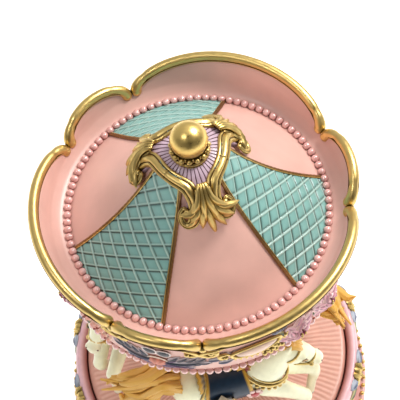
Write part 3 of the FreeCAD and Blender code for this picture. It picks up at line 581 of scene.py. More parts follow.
# Outer radius of the crest wall against height, and its rolled foot and inner ledge.
WALL_Z = [131.5, 136.0, 137.2, 152.0, 161.0, 175.0]
WALL_R = [47.0, 47.0, 49.2, 49.8, 51.2, 56.8]
CREST_FOOT = ((46.4, 132.4), (46.9, 131.7), (47.4, 132.6), (47.2, 136.0))
CREST_LEDGE = ((48.7, 160.2), (47.6, 159.2), (46.6, 158.4), (45.4, 157.9), (44.2, 157.8), (44.2, 156.4))
BEAD_FIT = 1.04


def arch_height(degrees):
    """Height of the rim above the bead ring at an angle."""
    height = np.full(degrees.shape, RIM_BASE_H)
    for centres, half, rise, _ in ARCHES:
        for centre in centres:
            part = ((degrees - centre + 180) % 360 - 180) / half
            height = np.maximum(height, RIM_BASE_H + rise * np.sqrt(np.clip(1 - part ** 2, 0, 1)))
    return height


def rim_radius(height):
    return RIM_BASE_R + 0.4 * (height - RIM_BASE_H)


def on_frieze(degrees, height, lift=0.0):
    """A point on the outside of the crest wall; height is relative to the bead ring."""
    z = np.asarray(height, dtype=float) + RING_Z
    return polar(np.interp(z, WALL_Z, WALL_R) + lift, degrees, z)


def crest_skin():
    """The crest wall: shallow cove outside, hollow inside, its top following the arches."""
    degrees = full_turn(720)
    top = arch_height(degrees) - 0.6
    rows = [polar(radius, degrees, z) for radius, z in CREST_FOOT]
    rows += [on_frieze(degrees, height, -0.25) for height in np.linspace(-20.8, 2.0, 14)]
    for foot, outward, parts in ((2.0, 0.5, (0.35, 0.7, 1.0)), (3.0, -1.0, (1.0, 0.7, 0.35, 0.0))):
        for part in parts:
            height = foot + (top - foot) * part
            rows.append(polar(rim_radius(height) + outward, degrees, height + RING_Z))
    rows += [polar(radius, degrees, z) for radius, z in CREST_LEDGE]
    shape = Shape()
    shape.add_grid(rows, close_rows=True, close_columns=True)
    shape.build("crest_skin", M["crest"], "carousel", replaces=("crest_wall",), slot="crest_resin")


def rim_arch(gilt, shading_lines, centre, half, rise, count):
    """One arch of the moulding: a roll with cords beside it and dark lines of painted shade in its creases,
    ending in two rounded knobs.
    """
    half_roll = half - np.degrees((KNOB_R - 0.12) / RIM_BASE_R)
    turn = np.linspace(-math.pi / 2, math.pi / 2, count)
    degrees = centre + half_roll * np.sin(turn)
    height = RIM_BASE_H + rise * np.cos(turn)

    def beside(outward, lift):
        return polar(rim_radius(height) + outward, degrees, height + RING_Z + lift)

    path = beside(0, 0)
    out = polar(1.0, degrees, 0.25)
    from_end = np.radians(half_roll - np.abs(degrees - centre)) * RIM_BASE_R
    swell = 1 + 0.16 * bell(from_end, 1.6) - 0.12 * bell(from_end - 4.2, 1.2)
    gilt.add(*sweep(path, round_section(ROLL_R, 22), swell, out))
    for shape, cords, sides in ((gilt, RIM_CORDS, 10), (shading_lines, RIM_SHADING_LINES, 8)):
        for outward, lift, radius in cords:
            side = beside(outward, lift)
            shape.add(*sweep(side[2:-2], round_section(radius, sides), None, out[2:-2]))
    for end in (0, -1):
        gilt.add(*ball(path[end] + (0, 0, 0.35), KNOB_R, 16, 24, (1, 1, 0.95)))
    gilt.add(*ball(polar(RIM_BASE_R + 0.6, centre + half, RING_Z + 1.9), 1.5, 12, 18))


def rim_moulding():
    """The gilt moulding along the three large and three small arches."""
    gilt, shading_lines = Shape(), Shape()
    for centres, half, rise, count in ARCHES:
        for centre in centres:
            rim_arch(gilt, shading_lines, centre, half, rise, count)
    # Dark lines of painted shade in the moulding's creases.
    shading_lines.build("rim_painted_shade", M["crease_shade"], "carousel", slot="gilt")
    gilt.build("rim_moulding", M["gold"], "carousel", replaces=("crest_rim",), slot="gilt")


def bead_row(name, count, ring_r, height, node):
    shape = Shape()
    for turn in full_turn(count):
        shape.add(*ball(polar(ring_r, turn, height), BEAD_R * BEAD_FIT, 12, 18))
    shape.build(name, M["pearl"], "carousel", replaces=(node,), slot="pearl")


# -------------------------------------------------------------- the roof's cap

CAP_R = [4.0, 5.6, 7.0, 9.0, 12.0, 14.0, 17.0, 20.8]
CAP_Z = [197.6, 197.4, 197.1, 196.3, 194.3, 191.2, 186.4, 180.6]
CAP_HOLE_R, CAP_THICK, FLUTES = 4.9, 1.6, 42
LOBE_R, LOBE_HALF, HOLLOW_R = 15.6, 22, 9.4
# The second colour is painted shade, laid in the flute grooves and on the cap's underside.
CAP_LILAC, CAP_GROOVE_SHADE = np.array([0.53, 0.385, 0.475]), np.array([0.12, 0.05, 0.09])


def on_cap(degrees, radius, lift=0.0):
    """A point on the cap, raised along the slope's normal."""
    radius = np.asarray(radius, dtype=float)
    height = np.interp(radius, CAP_R, CAP_Z)
    slope = (np.interp(radius + 0.5, CAP_R, CAP_Z) - np.interp(radius - 0.5, CAP_R, CAP_Z))
    length = np.sqrt(1 + slope ** 2)
    return polar(radius - slope / length * lift, degrees, height + lift / length)


def lobe_edge(degrees):
    """Edge of the cap: three lobes over the pink panels, hollow sides between them."""
    away = np.abs((degrees - PINK_CENTRES[0] + 60) % 120 - 60)
    hollow = HOLLOW_R / np.cos(np.radians(60 - away))
    return np.minimum(LOBE_R, np.where(away > LOBE_HALF, hollow, LOBE_R))


def cap_field():
    """The lilac field of the cap, fluted from the collar to the edge of the lobes, with painted shade in
    the flute grooves and on the underside.
    """
    steps, rows = 840, 26
    degrees = full_turn(steps)
    edge = lobe_edge(degrees)
    flute = np.minimum(1, np.abs(np.sin(np.radians(degrees * FLUTES / 2))) * 2.4)
    tone = np.clip(flute * 1.15 - 0.15, 0, 1)[:, None]
    colours = [CAP_GROOVE_SHADE + (CAP_LILAC - CAP_GROOVE_SHADE) * tone] * rows + [np.tile(CAP_GROOVE_SHADE, (steps, 1))] * 2
    points = []
    for row in range(rows):
        part = row / (rows - 1)
        radius = CAP_HOLE_R + (edge - CAP_HOLE_R) * part
        points.append(on_cap(degrees, radius, 0.42 * flute * min(1.0, part * 4) + 0.25))
    points += [on_cap(degrees, radius, -CAP_THICK) for radius in (edge + 0.2, CAP_HOLE_R)]
    shape = Shape()
    shape.add_grid(points, colours, True, True)
    shape.build("cap_field", M["relief"], "carousel", replaces=("finial_cap",), slot="cap_resin")


# Plan of half of one side's moulding (across, outward), its section and the section's scale
# along it; then the same for a leaf finger.
SCROLL_HALF = [(0, 9.9), (2.6, 9.7), (5.2, 9.2), (7.6, 8.9), (10.0, 9.2), (11.9, 10.6), (12.6, 12.7),
               (11.8, 14.4), (10.2, 15.0), (8.9, 14.2), (8.9, 12.8), (10.0, 12.4)]
SCROLL_SECTION = [(-2.0, -1.0), (-2.0, 0.2), (-1.65, 0.72), (-1.15, 0.35), (-0.75, 0.95), (0.0, 1.45),
                  (0.75, 1.05), (1.0, 0.4), (1.5, 0.75), (2.0, 0.2), (2.0, -1.0)]
SCROLL_SCALE = ([0, 0.35, 0.5, 0.7, 1], [1.05, 1.2, 1.08, 0.58, 0.34])
FINGER_SECTION = [(-0.8, -0.6), (-0.85, 0.0), (-0.4, 0.25), (0.0, 0.75), (0.4, 0.25), (0.85, 0.0),
                  (0.8, -0.6)]
FINGER_SCALE = ([0, 0.25, 0.6, 0.85, 1], [0.5, 0.8, 1.0, 0.72, 0.12])
# Two fans of leaf fingers: their reaches, spacing, root and bend (share of the spacing,
# radius), spread of the tips, width and lift.
LEAF_FANS = (((16.6, 18.0, 19.2, 20.8, 20.0, 19.0, 17.6), 8.4, (0.35, 11.8), (0.55, 15.6), 1.25, 1.75, 1.5),
             ((16.0, 17.6, 18.2, 16.6), 10.0, (0.3, 10.6), (0.6, 13.8), 1.3, 1.3, 2.6))


def flat_to_cap(across, outward, middle, lift):
    """A point given in the plan of one side of the cap, laid on its slope."""
    radius = np.hypot(across, outward)
    degrees = middle + np.degrees(np.arctan2(across, outward))
    return on_cap(degrees, radius, lift)


def cap_scroll(shape, shading_lines, middle, side):
    """Half of one side's moulding: two ridges with dark lines of painted shade between, ending in a volute.
    """
    count = 70
    plan = curve_points(SCROLL_HALF, count)
    path = flat_to_cap(side * plan[:, 0], plan[:, 1], middle, 1.0)
    out = flat_to_cap(side * plan[:, 0], plan[:, 1], middle, 2.0) - path
    sizes = np.interp(np.linspace(0, 1, count), *SCROLL_SCALE)
    shape.add(*sweep(path, [(x * side, y) for x, y in SCROLL_SECTION], sizes, out))
    shape.add(*ball(path[-1] + unit(out[-1]) * 0.5, 1.05, 10, 14))
    # Dark cords along the grooves of the section: painted shade.
    for across, up in ((-1.17, 0.48), (1.02, 0.5)):
        section = (round_section(0.2, 8) + (across, up)) * (side, 1)
        shading_lines.add(*sweep(path, section, sizes, out))


def finger(shape, start, bend, tip, width, lift):
    """A pointed leaf finger with a sharp ridge; each end is (degrees, radius) on the cap."""
    count = 20
    plan = curve_points([start, bend, tip], count)
    place = np.linspace(0, 1, count)
    rise = lift + 1.0 * np.sin(place * math.pi * 0.9)
    path = on_cap(plan[:, 0], plan[:, 1], rise)
    out = on_cap(plan[:, 0], plan[:, 1], rise + 1) - path
    shape.add(*sweep(path, FINGER_SECTION, np.interp(place, *FINGER_SCALE) * width, out))


def cap_leaf(shape, centre):
    """The acanthus fan at the end of one lobe."""
    for reaches, spacing, root, bend, spread, width, lift in LEAF_FANS:
        for index, reach in enumerate(reaches):
            offset = (index - (len(reaches) - 1) / 2) * spacing
            finger(shape, (centre + offset * root[0], root[1]), (centre + offset * bend[0], bend[1]),
                   (centre + offset * spread + 3.0, reach), width, lift)


def cap_gilding():
    shape, shading_lines = Shape(), Shape()
    for middle in TEAL_CENTRES:
        for side in (-1, 1):
            cap_scroll(shape, shading_lines, middle, side)
    for centre in PINK_CENTRES:
        cap_leaf(shape, centre)
    shape.build("cap_gilding", M["gold"], "carousel", slot="gilt")
    shading_lines.build("cap_painted_shade", M["crease_shade"], "carousel", slot="gilt")


COLLAR_PROFILE = [(3.0, 196.0), (5.8, 196.2), (5.9, 197.6), (5.2, 199.4), (4.8, 200.6), (3.0, 200.6)]


def finial_rings():
    shape = Shape()
    for radius, height, thick in ((6.15, 197.0, 0.78), (5.75, 198.5, 0.66)):
        ring(shape, radius, height, round_section(thick, 12), 96)
    shape.add(*revolve(COLLAR_PROFILE, 96))
    shape.build("finial_rings", M["gold"], "carousel", replaces=("finial_collar",), slot="gilt")


def finial_beads():
    """A ring of small leaf tips and beads that cups the ball."""
    shape = Shape()
    count = 15
    for angle in full_turn(count):
        shape.add(*ball(polar(5.85, angle, 200.4), 0.92, 10, 14))
        path = polar(np.array([5.0, 5.6, 5.9]), angle + 180 / count, np.array([199.6, 200.4, 202.0]))
        shape.add(*sweep(curve_points(path, 9), round_section(0.5, 8), np.linspace(1.2, 0.4, 9)))
    shape.build("finial_beads", M["gold"], "carousel", slot="gilt")


def finial_ball_skin():
    shape = Shape()
    shape.add(*ball((0, 0, BALL_Z), BALL_R, 48, 72))
    shape.build("gilt_ball", M["ball"], "carousel", replaces=("finial_ball",), slot="ball_gilt")


# ------------------------------------------------------------- painted reliefs

def srgb(red, green, blue):
    """A colour named in everyday 0 to 255 values, as linear light."""
    value = np.array([red, green, blue]) / 255.0
    return np.where(value <= 0.04045, value / 12.92, ((value + 0.055) / 1.055) ** 2.4)


NAVY, SLATE, PLUM = srgb(46, 52, 72), srgb(92, 92, 118), srgb(112, 84, 118)
ROSE, ROSE_DEEP, ROSE_EDGE = srgb(226, 158, 174), srgb(150, 72, 96), srgb(250, 218, 218)
CORAL, CORAL_DEEP, IVORY = srgb(214, 132, 112), srgb(150, 70, 58), srgb(250, 232, 214)
LEAF, LEAF_EDGE, BLUSH = srgb(62, 84, 70), srgb(206, 200, 150), srgb(240, 208, 190)
STEEL_BLUE, CREAM, GOLD_PAINT = srgb(112, 122, 150), srgb(240, 238, 212), srgb(206, 160, 62)
PALE_BLUE = srgb(176, 184, 200)


def blend(first, second, part):
    """A colour between two others."""
    return first * (1 - part) + second * part


def step_up(value, start, span):
    """0 up to start, rising to 1 over a span."""
    return np.clip((value - start) / span, 0, 1)


class Wall:
    """Places flat patterns on an upright round wall: across and up in millimetres from an
    anchor, and lift outward."""

    def __init__(self, place, reach):
        self.place = place
        self.reach = reach

    def point(self, anchor, across, up, lift):
        degrees = anchor[0] + np.degrees(np.asarray(across) / self.reach)
        return self.place(degrees, anchor[1] + np.asarray(up), lift)


def dome(shape, wall, anchor, across, up, rise, colour, edge, turn=0.0, ribs=0, rings=7, sides=28):
    """A low dome with a painted edge, optionally ribbed like a shell, with painted shade between the ribs.
    """
    points, colours = [], []
    angles = around(sides)
    for row in range(rings + 1):
        part = row / rings
        flute = 1 - 0.28 * part * (0.5 + 0.5 * np.cos(ribs * angles)) if ribs else np.ones(sides)
        lift = rise * math.sqrt(max(0.0, 1 - part ** 2)) * flute - (0.4 if row == rings else 0)
        x, y = across * part * np.cos(angles), up * part * np.sin(angles)
        spun = x * math.cos(turn) - y * math.sin(turn), x * math.sin(turn) + y * math.cos(turn)
        points.append(wall.point(anchor, spun[0], spun[1], lift))
        # Ribbed domes get painted shade in the hollows between their ribs.
        shade = (0.45 + 0.55 * (flute - 0.72) / 0.28)[:, None] if ribs else np.ones((sides, 1))
        colours.append(blend(colour, edge, step_up(part, 0.72, 0.2)) * shade)
    shape.add_grid(points, colours, close_columns=True)


def petal(shape, wall, anchor, start, tip, width, rise, colour, edge, bend=0.0, veins=3, base=0.0):
    """A pointed leaf or petal from start to tip (across, up), with a paler raised edge and painted shade
    between its veins.
    """
    rows, columns = 12, 17
    start, tip = np.asarray(start, float), np.asarray(tip, float)
    along = tip - start
    side = np.array([-along[1], along[0]]) / np.linalg.norm(along)
    part = np.linspace(0, 1, rows)[:, None]
    cross = np.linspace(-1, 1, columns)[None, :]
    half = width * np.sin(math.pi * part ** 0.75) ** 0.7 * 0.5
    sideways = cross * half + bend * np.sin(part * math.pi)
    across, up = (start[axis] + along[axis] * part + side[axis] * sideways for axis in (0, 1))
    cup = 1 - cross ** 4
    vein = np.abs(np.sin(cross * math.pi * veins / 2 + part * 2.0))
    arch = rise * np.sin(math.pi * (0.15 + 0.8 * part))
    lift = base + arch * cup * (0.62 + 0.38 * vein) - 0.5 * (1 - cup)
    points = wall.point(anchor, across, up, lift)
    rim = np.maximum(step_up(np.abs(cross), 0.58, 0.2), step_up(part, 0.84, 0.1))[..., None]
    # Painted shade: darker in the furrows between the raised veins.
    tone = (0.22 + 0.78 * vein ** 0.8)[..., None]
    shape.add_grid(points, blend(colour * tone, edge, rim))
    border = np.concatenate([points[1:, 1], points[-1:, columns // 2], points[:0:-1, -2]])
    shape.add(*sweep(border, round_section(0.2, 5)), edge)


def rose(shape, wall, anchor, size, spin=0.0):
    """An open rose: three rings of cupped, ribbed petals round a bud."""
    for count, reach, width, base in ((7, 1.0, 0.85, 0.2), (6, 0.74, 0.66, 1.0), (4, 0.46, 0.5, 1.7)):
        for index in range(count):
            turn = spin + index * math.tau / count + base
            spoke = np.array([math.cos(turn), math.sin(turn)]) * size
            colour = ROSE * (0.84 + 0.16 * (index % 2))
            petal(shape, wall, anchor, spoke * 0.08, spoke * reach, size * width, size * 0.20, colour,
                  ROSE_EDGE, size * 0.10, 3, base * size * 0.13)
    dome(shape, wall, anchor, size * 0.2, size * 0.2, size * 0.48, ROSE_DEEP, ROSE, 0, 5)


def blossom(shape, wall, anchor, size, colour, edge, heart, petals=5, spin=0.3):
    """A small flower of round domes about a heart."""
    for index in range(petals):
        turn = spin + index * math.tau / petals
        across, up = size * 0.58 * math.cos(turn), size * 0.58 * math.sin(turn)
        place = (anchor[0] + math.degrees(across / wall.reach), anchor[1] + up)
        dome(shape, wall, place, size * 0.46, size * 0.38, size * 0.34, colour, edge, turn, 0, 5, 16)
    dome(shape, wall, anchor, size * 0.24, size * 0.24, size * 0.5, heart, heart, 0, 0, 4, 12)


def acanthus(shape, wall, anchor, start, tip, width, colour, edge, fingers=4):
    """A leaf with side fingers, each a petal leaving the spine in turn."""
    start, tip = np.asarray(start, float), np.asarray(tip, float)
    along = tip - start
    side = np.array([-along[1], along[0]]) / np.linalg.norm(along)
    for index in range(fingers):
        part = (index + 0.5) / (fingers + 0.8)
        root = start + along * part
        for hand in (-1, 1):
            end = root + along * 0.36 + side * hand * width * (0.9 - 0.45 * part)
            petal(shape, wall, anchor, root, end, width * 0.42, 0.9, colour, edge, hand * 0.3, 1)
    petal(shape, wall, anchor, start, tip, width * 0.5, 1.3, colour, edge, 0.0, 3, 0.2)


def scroll(shape, wall, anchor, plan, radius):
    """A gilt tube along a plan of (across, up) points, thinning to its ends."""
    count, lift = 40, 0.6
    plan = curve_points(plan, count)
    path = wall.point(anchor, plan[:, 0], plan[:, 1], lift)
    out = wall.point(anchor, plan[:, 0], plan[:, 1], lift + 1) - path
    sizes = np.interp(np.linspace(0, 1, count), [0, 0.3, 0.7, 1], [0.5, 1, 1, 0.6])
    shape.add(*sweep(path, round_section(radius, 8, 0.9), sizes, out))
    shape.add(*ball(path[-1], radius * 1.25, 6, 10))


# ------------------------------------------------------------------ the frieze

CREST = Wall(on_frieze, 50.0)


def oval(shape, anchor, across, up, lift, section, count, colour=WHITE):
    """A cord round an oval on the frieze."""
    angles = around(count)
    path = CREST.point(anchor, across * np.cos(angles), up * np.sin(angles), lift)
    shape.add(*sweep(path, section, None, polar(1.0, anchor[0], 0.0), closed=True), colour)


def outline(shape, anchor, across, up, thick, colour):
    """A painted cord round an oval boss."""
    oval(shape, anchor, across, up, 0.35, round_section(thick, 6), 40, colour)


def frieze_leaves(shape, turn):
    """Navy and plum leaves either side of a shell, with two dark beads above it."""
    shell = (turn + 247.0, -15.4)
    for tip, width, colour in (((-14.5, 4.4), 4.8, NAVY), ((16.5, 3.2), 4.8, NAVY),
                               ((-11.0, -1.2), 3.8, SLATE), ((12.0, -1.4), 3.8, PLUM)):
        start = (np.sign(tip[0]) * 2.0, 0.4)
        acanthus(shape, CREST, shell, start, tip, width, colour, srgb(218, 208, 214))
    for tip in ((-6.0, -4.2), (0.0, -4.9), (6.2, -4.4)):
        petal(shape, CREST, shell, (0, -0.8), tip, 3.2, 1.1, PLUM, srgb(226, 214, 220), 0, 3)
    dome(shape, CREST, shell, 3.6, 2.6, 1.8, CORAL * 1.05, CORAL, 0.1, 7)
    outline(shape, shell, 3.8, 2.8, 0.28, IVORY)
    for where in ((244.5, -7.2), (250.0, -7.6)):
        eye = (turn + where[0], where[1])
        dome(shape, CREST, eye, 2.2, 2.1, 1.0, NAVY * 0.35, NAVY * 0.5)
        outline(shape, eye, 2.4, 2.3, 0.26, srgb(226, 216, 214))


# Leaves among the roses: their place (degrees, height) and tip; coral flowers: place and size.
ROSE_LEAVES = (
    ((307.5, -5.0), (3.0, 4.6)), ((309.5, -6.5), (7.0, 2.4)), ((313.0, -8.0), (0.5, 5.0)),
    ((313.0, -14.0), (1.0, -6.0)), ((298.5, -11.0), (-4.0, 4.2)), ((329.0, -9.0), (4.5, 4.0)),
    ((296.5, -15.0), (-5.5, -2.0)), ((330.0, -15.5), (5.0, -3.4)))
CORAL_FLOWERS = (
    (331.5, -16.6, 2.6), (334.5, -10.6, 2.9), (338.0, -17.2, 2.7), (340.8, -12.2, 3.0),
    (343.6, -17.6, 2.4), (346.2, -9.2, 2.5), (312.6, -18.2, 2.3), (328.4, -5.2, 2.2))
CARTOUCHE = (285.6, -9.6)
GRAPES = ((0, 0), (1.9, 0.6), (-1.9, 0.2), (1.0, -1.8), (-1.0, -1.7), (0.6, 2.0), (3.4, -0.8), (-3.2, -1.0))
# Gilt scrolls of the frieze: the place they start from, their plan and radius.
FRIEZE_SCROLLS = (
    ((265.4, 0.0), [(-6.5, 0.8), (-3.6, -1.6), (-1.2, -4.6), (1.4, -6.4), (4.0, -5.6), (4.2, -3.4),
                    (2.4, -3.0)], 0.85),
    ((265.4, 0.0), [(7.0, 1.2), (4.4, -0.6), (1.0, -2.0), (-2.4, -5.0), (-4.8, -6.0), (-5.4, -4.2)], 0.75),
    ((230.8, 0.0), [(-5.8, 1.0), (-2.8, -2.4), (1.6, -4.6), (4.6, -3.4), (3.6, -1.6)], 0.8),
    ((230.8, 0.0), [(5.8, 1.0), (2.8, -3.4), (-1.6, -6.4), (-5.0, -5.6), (-4.2, -3.6)], 0.75))
CARTOUCHE_SCROLLS = (
    (CARTOUCHE, [(-8.8, 0.6), (-10.8, 2.4), (-12.8, 1.0), (-11.8, -1.0), (-10.6, -0.2)], 0.7),
    (CARTOUCHE, [(8.8, -0.6), (10.8, -2.6), (12.6, -1.2), (11.6, 0.9), (10.5, 0.0)], 0.7))


def frieze_flowers(shape, turn):
    """Two roses, then a cluster of small coral flowers, with leaves between."""
    for (angle, height), tip in ROSE_LEAVES:
        petal(shape, CREST, (turn + angle, height), (0, 0), tip, 2.8, 0.9, LEAF, LEAF_EDGE, 0.3, 3)
    rose(shape, CREST, (turn + 303.7, -13.6), 8.0, 0.2)
    rose(shape, CREST, (turn + 320.6, -13.2), 8.4, 0.7)
    for angle, height, size in CORAL_FLOWERS:
        blossom(shape, CREST, (turn + angle, height), size, CORAL, IVORY, CORAL_DEEP)
    for lean in (-3.2, -1.6, 0.0, 1.6, 3.2):
        petal(shape, CREST, (turn + 295.0, -5.2), (0, 0), (lean * 1.1, 3.6), 1.9, 0.9, SLATE,
              srgb(228, 220, 226), 0, 1)


def frieze_cartouche(shape, turn):
    """The long blush cabochon of the cartouche, and slate leaves about it."""
    dome(shape, CREST, (turn + CARTOUCHE[0], CARTOUCHE[1]), 8.0, 2.7, 2.0, BLUSH, BLUSH * 0.9, 0.05)
    for angle, height in ((269.5, -12.5), (273.2, -15.6), (297.6, -19.0)):
        petal(shape, CREST, (turn + angle, height), (-2.4, 0), (3.0, 0.8), 2.4, 0.8, SLATE,
              srgb(214, 208, 214), 0.2, 3)


def turned_scrolls(shape, turn, scrolls):
    for (angle, height), plan, radius in scrolls:
        scroll(shape, CREST, (turn + angle, height), plan, radius)


def frieze_gilding(shape, turn):
    """Scrolls below two cusps, the cartouche's border with its dentils, and bead clusters."""
    turned_scrolls(shape, turn, FRIEZE_SCROLLS)
    border = (turn + CARTOUCHE[0], CARTOUCHE[1])
    oval(shape, border, 8.8, 3.5, 0.6, round_section(0.62, 8), 60)
    for index in range(9):
        across = -7.6 + index * 1.9
        drop = -4.9 + 0.035 * across ** 2
        dentil = CREST.point(border, np.full(5, across), np.linspace(drop - 0.8, drop + 0.8, 5), 0.7)
        shape.add(*sweep(dentil, round_section(0.5, 6), None, polar(1.0, border[0], 0.0)))
    turned_scrolls(shape, turn, CARTOUCHE_SCROLLS)
    for across, up in GRAPES:
        shape.add(*ball(CREST.point((turn + 292.2, -15.6), across, up, 0.7), 1.0, 7, 10))
    for angle, height in ((303.7, -13.6), (320.6, -13.4)):
        for spoke in (0, 2.1, 4.2):
            across, up = math.cos(spoke) * 0.9, math.sin(spoke) * 0.9
            shape.add(*ball(CREST.point((turn + angle, height), across, up, 3.5), 0.5, 5, 8))


def frieze():
    paint, gilt = Shape(), Shape()
    for turn in THIRDS:
        frieze_leaves(paint, turn)
        frieze_flowers(paint, turn)
        frieze_cartouche(paint, turn)
        frieze_gilding(gilt, turn)
    paint.build("frieze_relief", M["relief"], "carousel", slot="crest_resin")
    gilt.build("frieze_gilding", M["gold"], "carousel", slot="gilt")


# -------------------------------------------------------------------- the base

BASE_PROFILE = [
    (52.9, 29.4), (52.9, 33.6), (53.2, 34.9), (53.9, 36.0), (54.9, 36.8), (55.8, 37.0), (56.6, 36.7),
    (57.2, 35.9), (57.5, 34.6), (57.6, 33.0), (57.6, 30.0), (57.4, 28.0), (56.9, 26.0), (56.7, 24.0),
    (56.7, 15.0), (57.2, 12.6), (58.4, 11.4), (60.0, 10.6), (61.2, 8.8), (61.7, 6.4), (61.3, 4.0),
    (60.3, 2.2), (58.8, 1.5), (54.6, 1.5), (53.9, 2.2), (53.9, 10.8), (53.9, 13.4), (53.9, 28.8),
    (52.9, 29.4)]
# Radius that the base's ornament lies on, against height, and how far out it may reach.
WAIST_Z = [10, 13, 25, 29, 35.4, 37.4]
WAIST_R = [59.4, 56.9, 56.9, 57.8, 57.8, 57.2]
WAIST_LIMIT = 61.6
# Leaves beside each lily: height, start, tip, width, rise, colours and bend.
GARLAND_LEAVES = (
    (31.4, (3.2, 1.0), (9.0, 4.6), 4.2, 1.5, STEEL_BLUE, PALE_BLUE, 0.6),
    (30.0, (3.4, -1.6), (11.0, -0.6), 4.2, 1.3, LEAF, LEAF_EDGE, -0.4),
    (30.4, (2.4, -2.0), (7.6, -5.6), 3.6, 1.4, STEEL_BLUE, PALE_BLUE, 0.4))
GARLAND_SWAG = ((2.0, 0.0), (4.4, -3.4), (8.4, -5.4), (14.0, -6.0))


def base_skin():
    """The base's outside with its plain rim, and the recess below."""
    shape = Shape()
    points, faces = revolve(curve_points(BASE_PROFILE, 150)[:-1], 360)
    height = points[:, 2:3]
    radius = np.hypot(points[:, 0:1], points[:, 1:2])
    mauve, pink, groove = srgb(230, 184, 192), srgb(216, 158, 152), srgb(160, 92, 88)
    colours = blend(pink, mauve, step_up(radius, 53.6, 2.0) * step_up(height, 29, 4))
    # Painted shade: darker down the rim's inner slope into the gap beside the turntable.
    colours = blend(colours, groove, step_up(-radius, -54.9, 1.9))
    shape.add(points, faces, colours)
    shape.build("base_skin", M["relief"], "base", replaces=("base_housing",), slot="base_resin")


def on_base(degrees, height, lift=0.0):
    waist = np.interp(height, WAIST_Z, WAIST_R)
    return polar(np.minimum(waist + np.asarray(lift), WAIST_LIMIT), degrees, height)


WAIST = Wall(on_base, 58.0)


def base_garland(paint, gilt, turn):
    """One length of the garland under the rim: a gilt lily with grey-blue and green leaves."""
    blossom(gilt, WAIST, (turn, 32.0), 5.2, CREAM, CREAM, CREAM, 6, 0.5)
    for hand in (-1, 1):
        flip = np.array([hand, 1.0])
        petal(gilt, WAIST, (turn, 32.0), flip * (0.8, 1.0), flip * (2.6, 5.4), 3.4, 2.2, CREAM, CREAM,
              0.2, 3)
        for height, start, tip, width, rise, colour, edge, bend in GARLAND_LEAVES:
            petal(paint, WAIST, (turn, height), flip * start, flip * tip, width, rise, colour, edge,
                  hand * bend, 3)
        scroll(gilt, WAIST, (turn, 25.6), flip * GARLAND_SWAG, 0.85)


def base_relief():
    """A garland under the rim, roses hung between swags, and beads round the foot."""
    paint, gilt = Shape(), Shape()
    units, beads = 12, 9
    for index in range(units):
        turn = index * 360 / units + 12.5
        base_garland(paint, gilt, turn)
        rose(paint, WAIST, (turn + 15, 18.4), 4.8, index)
        for hand in (-1, 1):
            petal(paint, WAIST, (turn + 15, 18.0), (hand * 3.0, -0.6), (hand * 8.4, -3.4), 3.2, 1.2, LEAF,
                  LEAF_EDGE, hand * 0.4, 3)
        dome(paint, WAIST, (turn, 16.6), 3.2, 2.6, 1.8, CORAL, IVORY, 0, 7)
        for step in range(beads):
            place = polar(60.6, turn + step * 30 / beads, 11.8)
            gilt.add(*ball(place, 0.95, 7, 10))
    for radius, height in ((57.2, 24.0), (60.9, 3.0)):
        ring(gilt, radius, height, round_section(1.0, 8), 240, beaded(240, 0.7, 0.12))
    paint.build("base_relief", M["relief"], "base", slot="base_resin")
    gilt.build("base_gilding", M["gold"], "base", slot="base_resin")


def beaded(steps, thick, swell):
    """Sizes that swell every fourth step, for a beaded ring."""
    return thick + swell * np.sin(np.arange(steps) * math.pi / 2)


# The turntable's ribbed part, its ribs, and its plain edge as radius and drop.
RIBS_IN, RIBS_OUT, RIBS = 19.2, 50.2, 144
TABLE_EDGE = ((51.2, -0.3), (52.1, -0.7), (52.5, -1.5), (52.5, -2.9), (RIBS_IN, -2.9))


def turntable_skin():
    """The turntable: fine wavy ribs running out from the column, and a plain edge, with painted shade in
    the rib valleys and on the edge.
    """
    steps = 2304
    degrees = full_turn(steps)
    points, colours = [], []
    pink, deep = srgb(222, 172, 156), srgb(208, 152, 136)
    for radius in np.linspace(RIBS_IN, RIBS_OUT, 26):
        swing = 0.12 * np.sin(radius * 0.28) + 0.08 * np.sin(radius * 0.85 + np.radians(degrees) * 5)
        wave = 0.5 + 0.5 * np.cos(np.radians(degrees + swing) * RIBS)
        depth = 0.16 * min(1.0, (radius - RIBS_IN) / 4) * min(1.0, (RIBS_OUT + 0.4 - radius) / 1.2)
        points.append(polar(radius, degrees, TABLE_Z - 0.42 + depth * wave))
        # The darker colour is painted shade: it darkens the rib valleys here and the plain edge below.
        colours.append(deep + (pink - deep) * wave[:, None])
    for radius, drop in TABLE_EDGE:
        points.append(polar(radius, degrees, TABLE_Z + drop))
        colours.append(np.tile(deep, (steps, 1)))
    shape = Shape()
    shape.add_grid(points, colours, True, True)
    shape.build("turntable_skin", M["relief"], "carousel", replaces=("turntable",), slot="table_resin")


COLUMN_LOW, COLUMN_HIGH = node_box("column")[0][2], node_box("column")[1][2]
# The column's outline as radius and height, for a column 95.5 mm tall, and its gilt rings.
COLUMN_PROFILE = [
    (1.6, 0.0), (18.8, 0.0), (18.9, 1.6), (18.0, 3.0), (16.0, 3.8), (14.6, 5.4), (14.2, 8.0), (12.4, 10.0),
    (11.2, 13.0), (10.6, 18.0), (10.3, 47.0), (10.6, 76.0), (11.2, 81.0), (12.6, 84.0), (14.4, 86.5),
    (14.8, 88.5), (16.2, 90.4), (17.6, 92.4), (17.8, 95.4), (1.6, 95.4)]
COLUMN_DRAWN, COLUMN_STEP = 95.5, 2.5
COLUMN_RINGS = ((18.4, 2.2), (14.3, 6.6), (11.5, 12.4), (11.4, 81.8), (14.7, 87.4), (17.7, 93.6))
# Radius that the column's leaves lie on: heights above its foot, and below its top.
LEAF_Z = [COLUMN_LOW + 4, COLUMN_LOW + 9, COLUMN_LOW + 14,
          COLUMN_HIGH - 16, COLUMN_HIGH - 8, COLUMN_HIGH - 3]
LEAF_R = [15.4, 13.2, 10.8, 10.9, 14.0, 17.0]


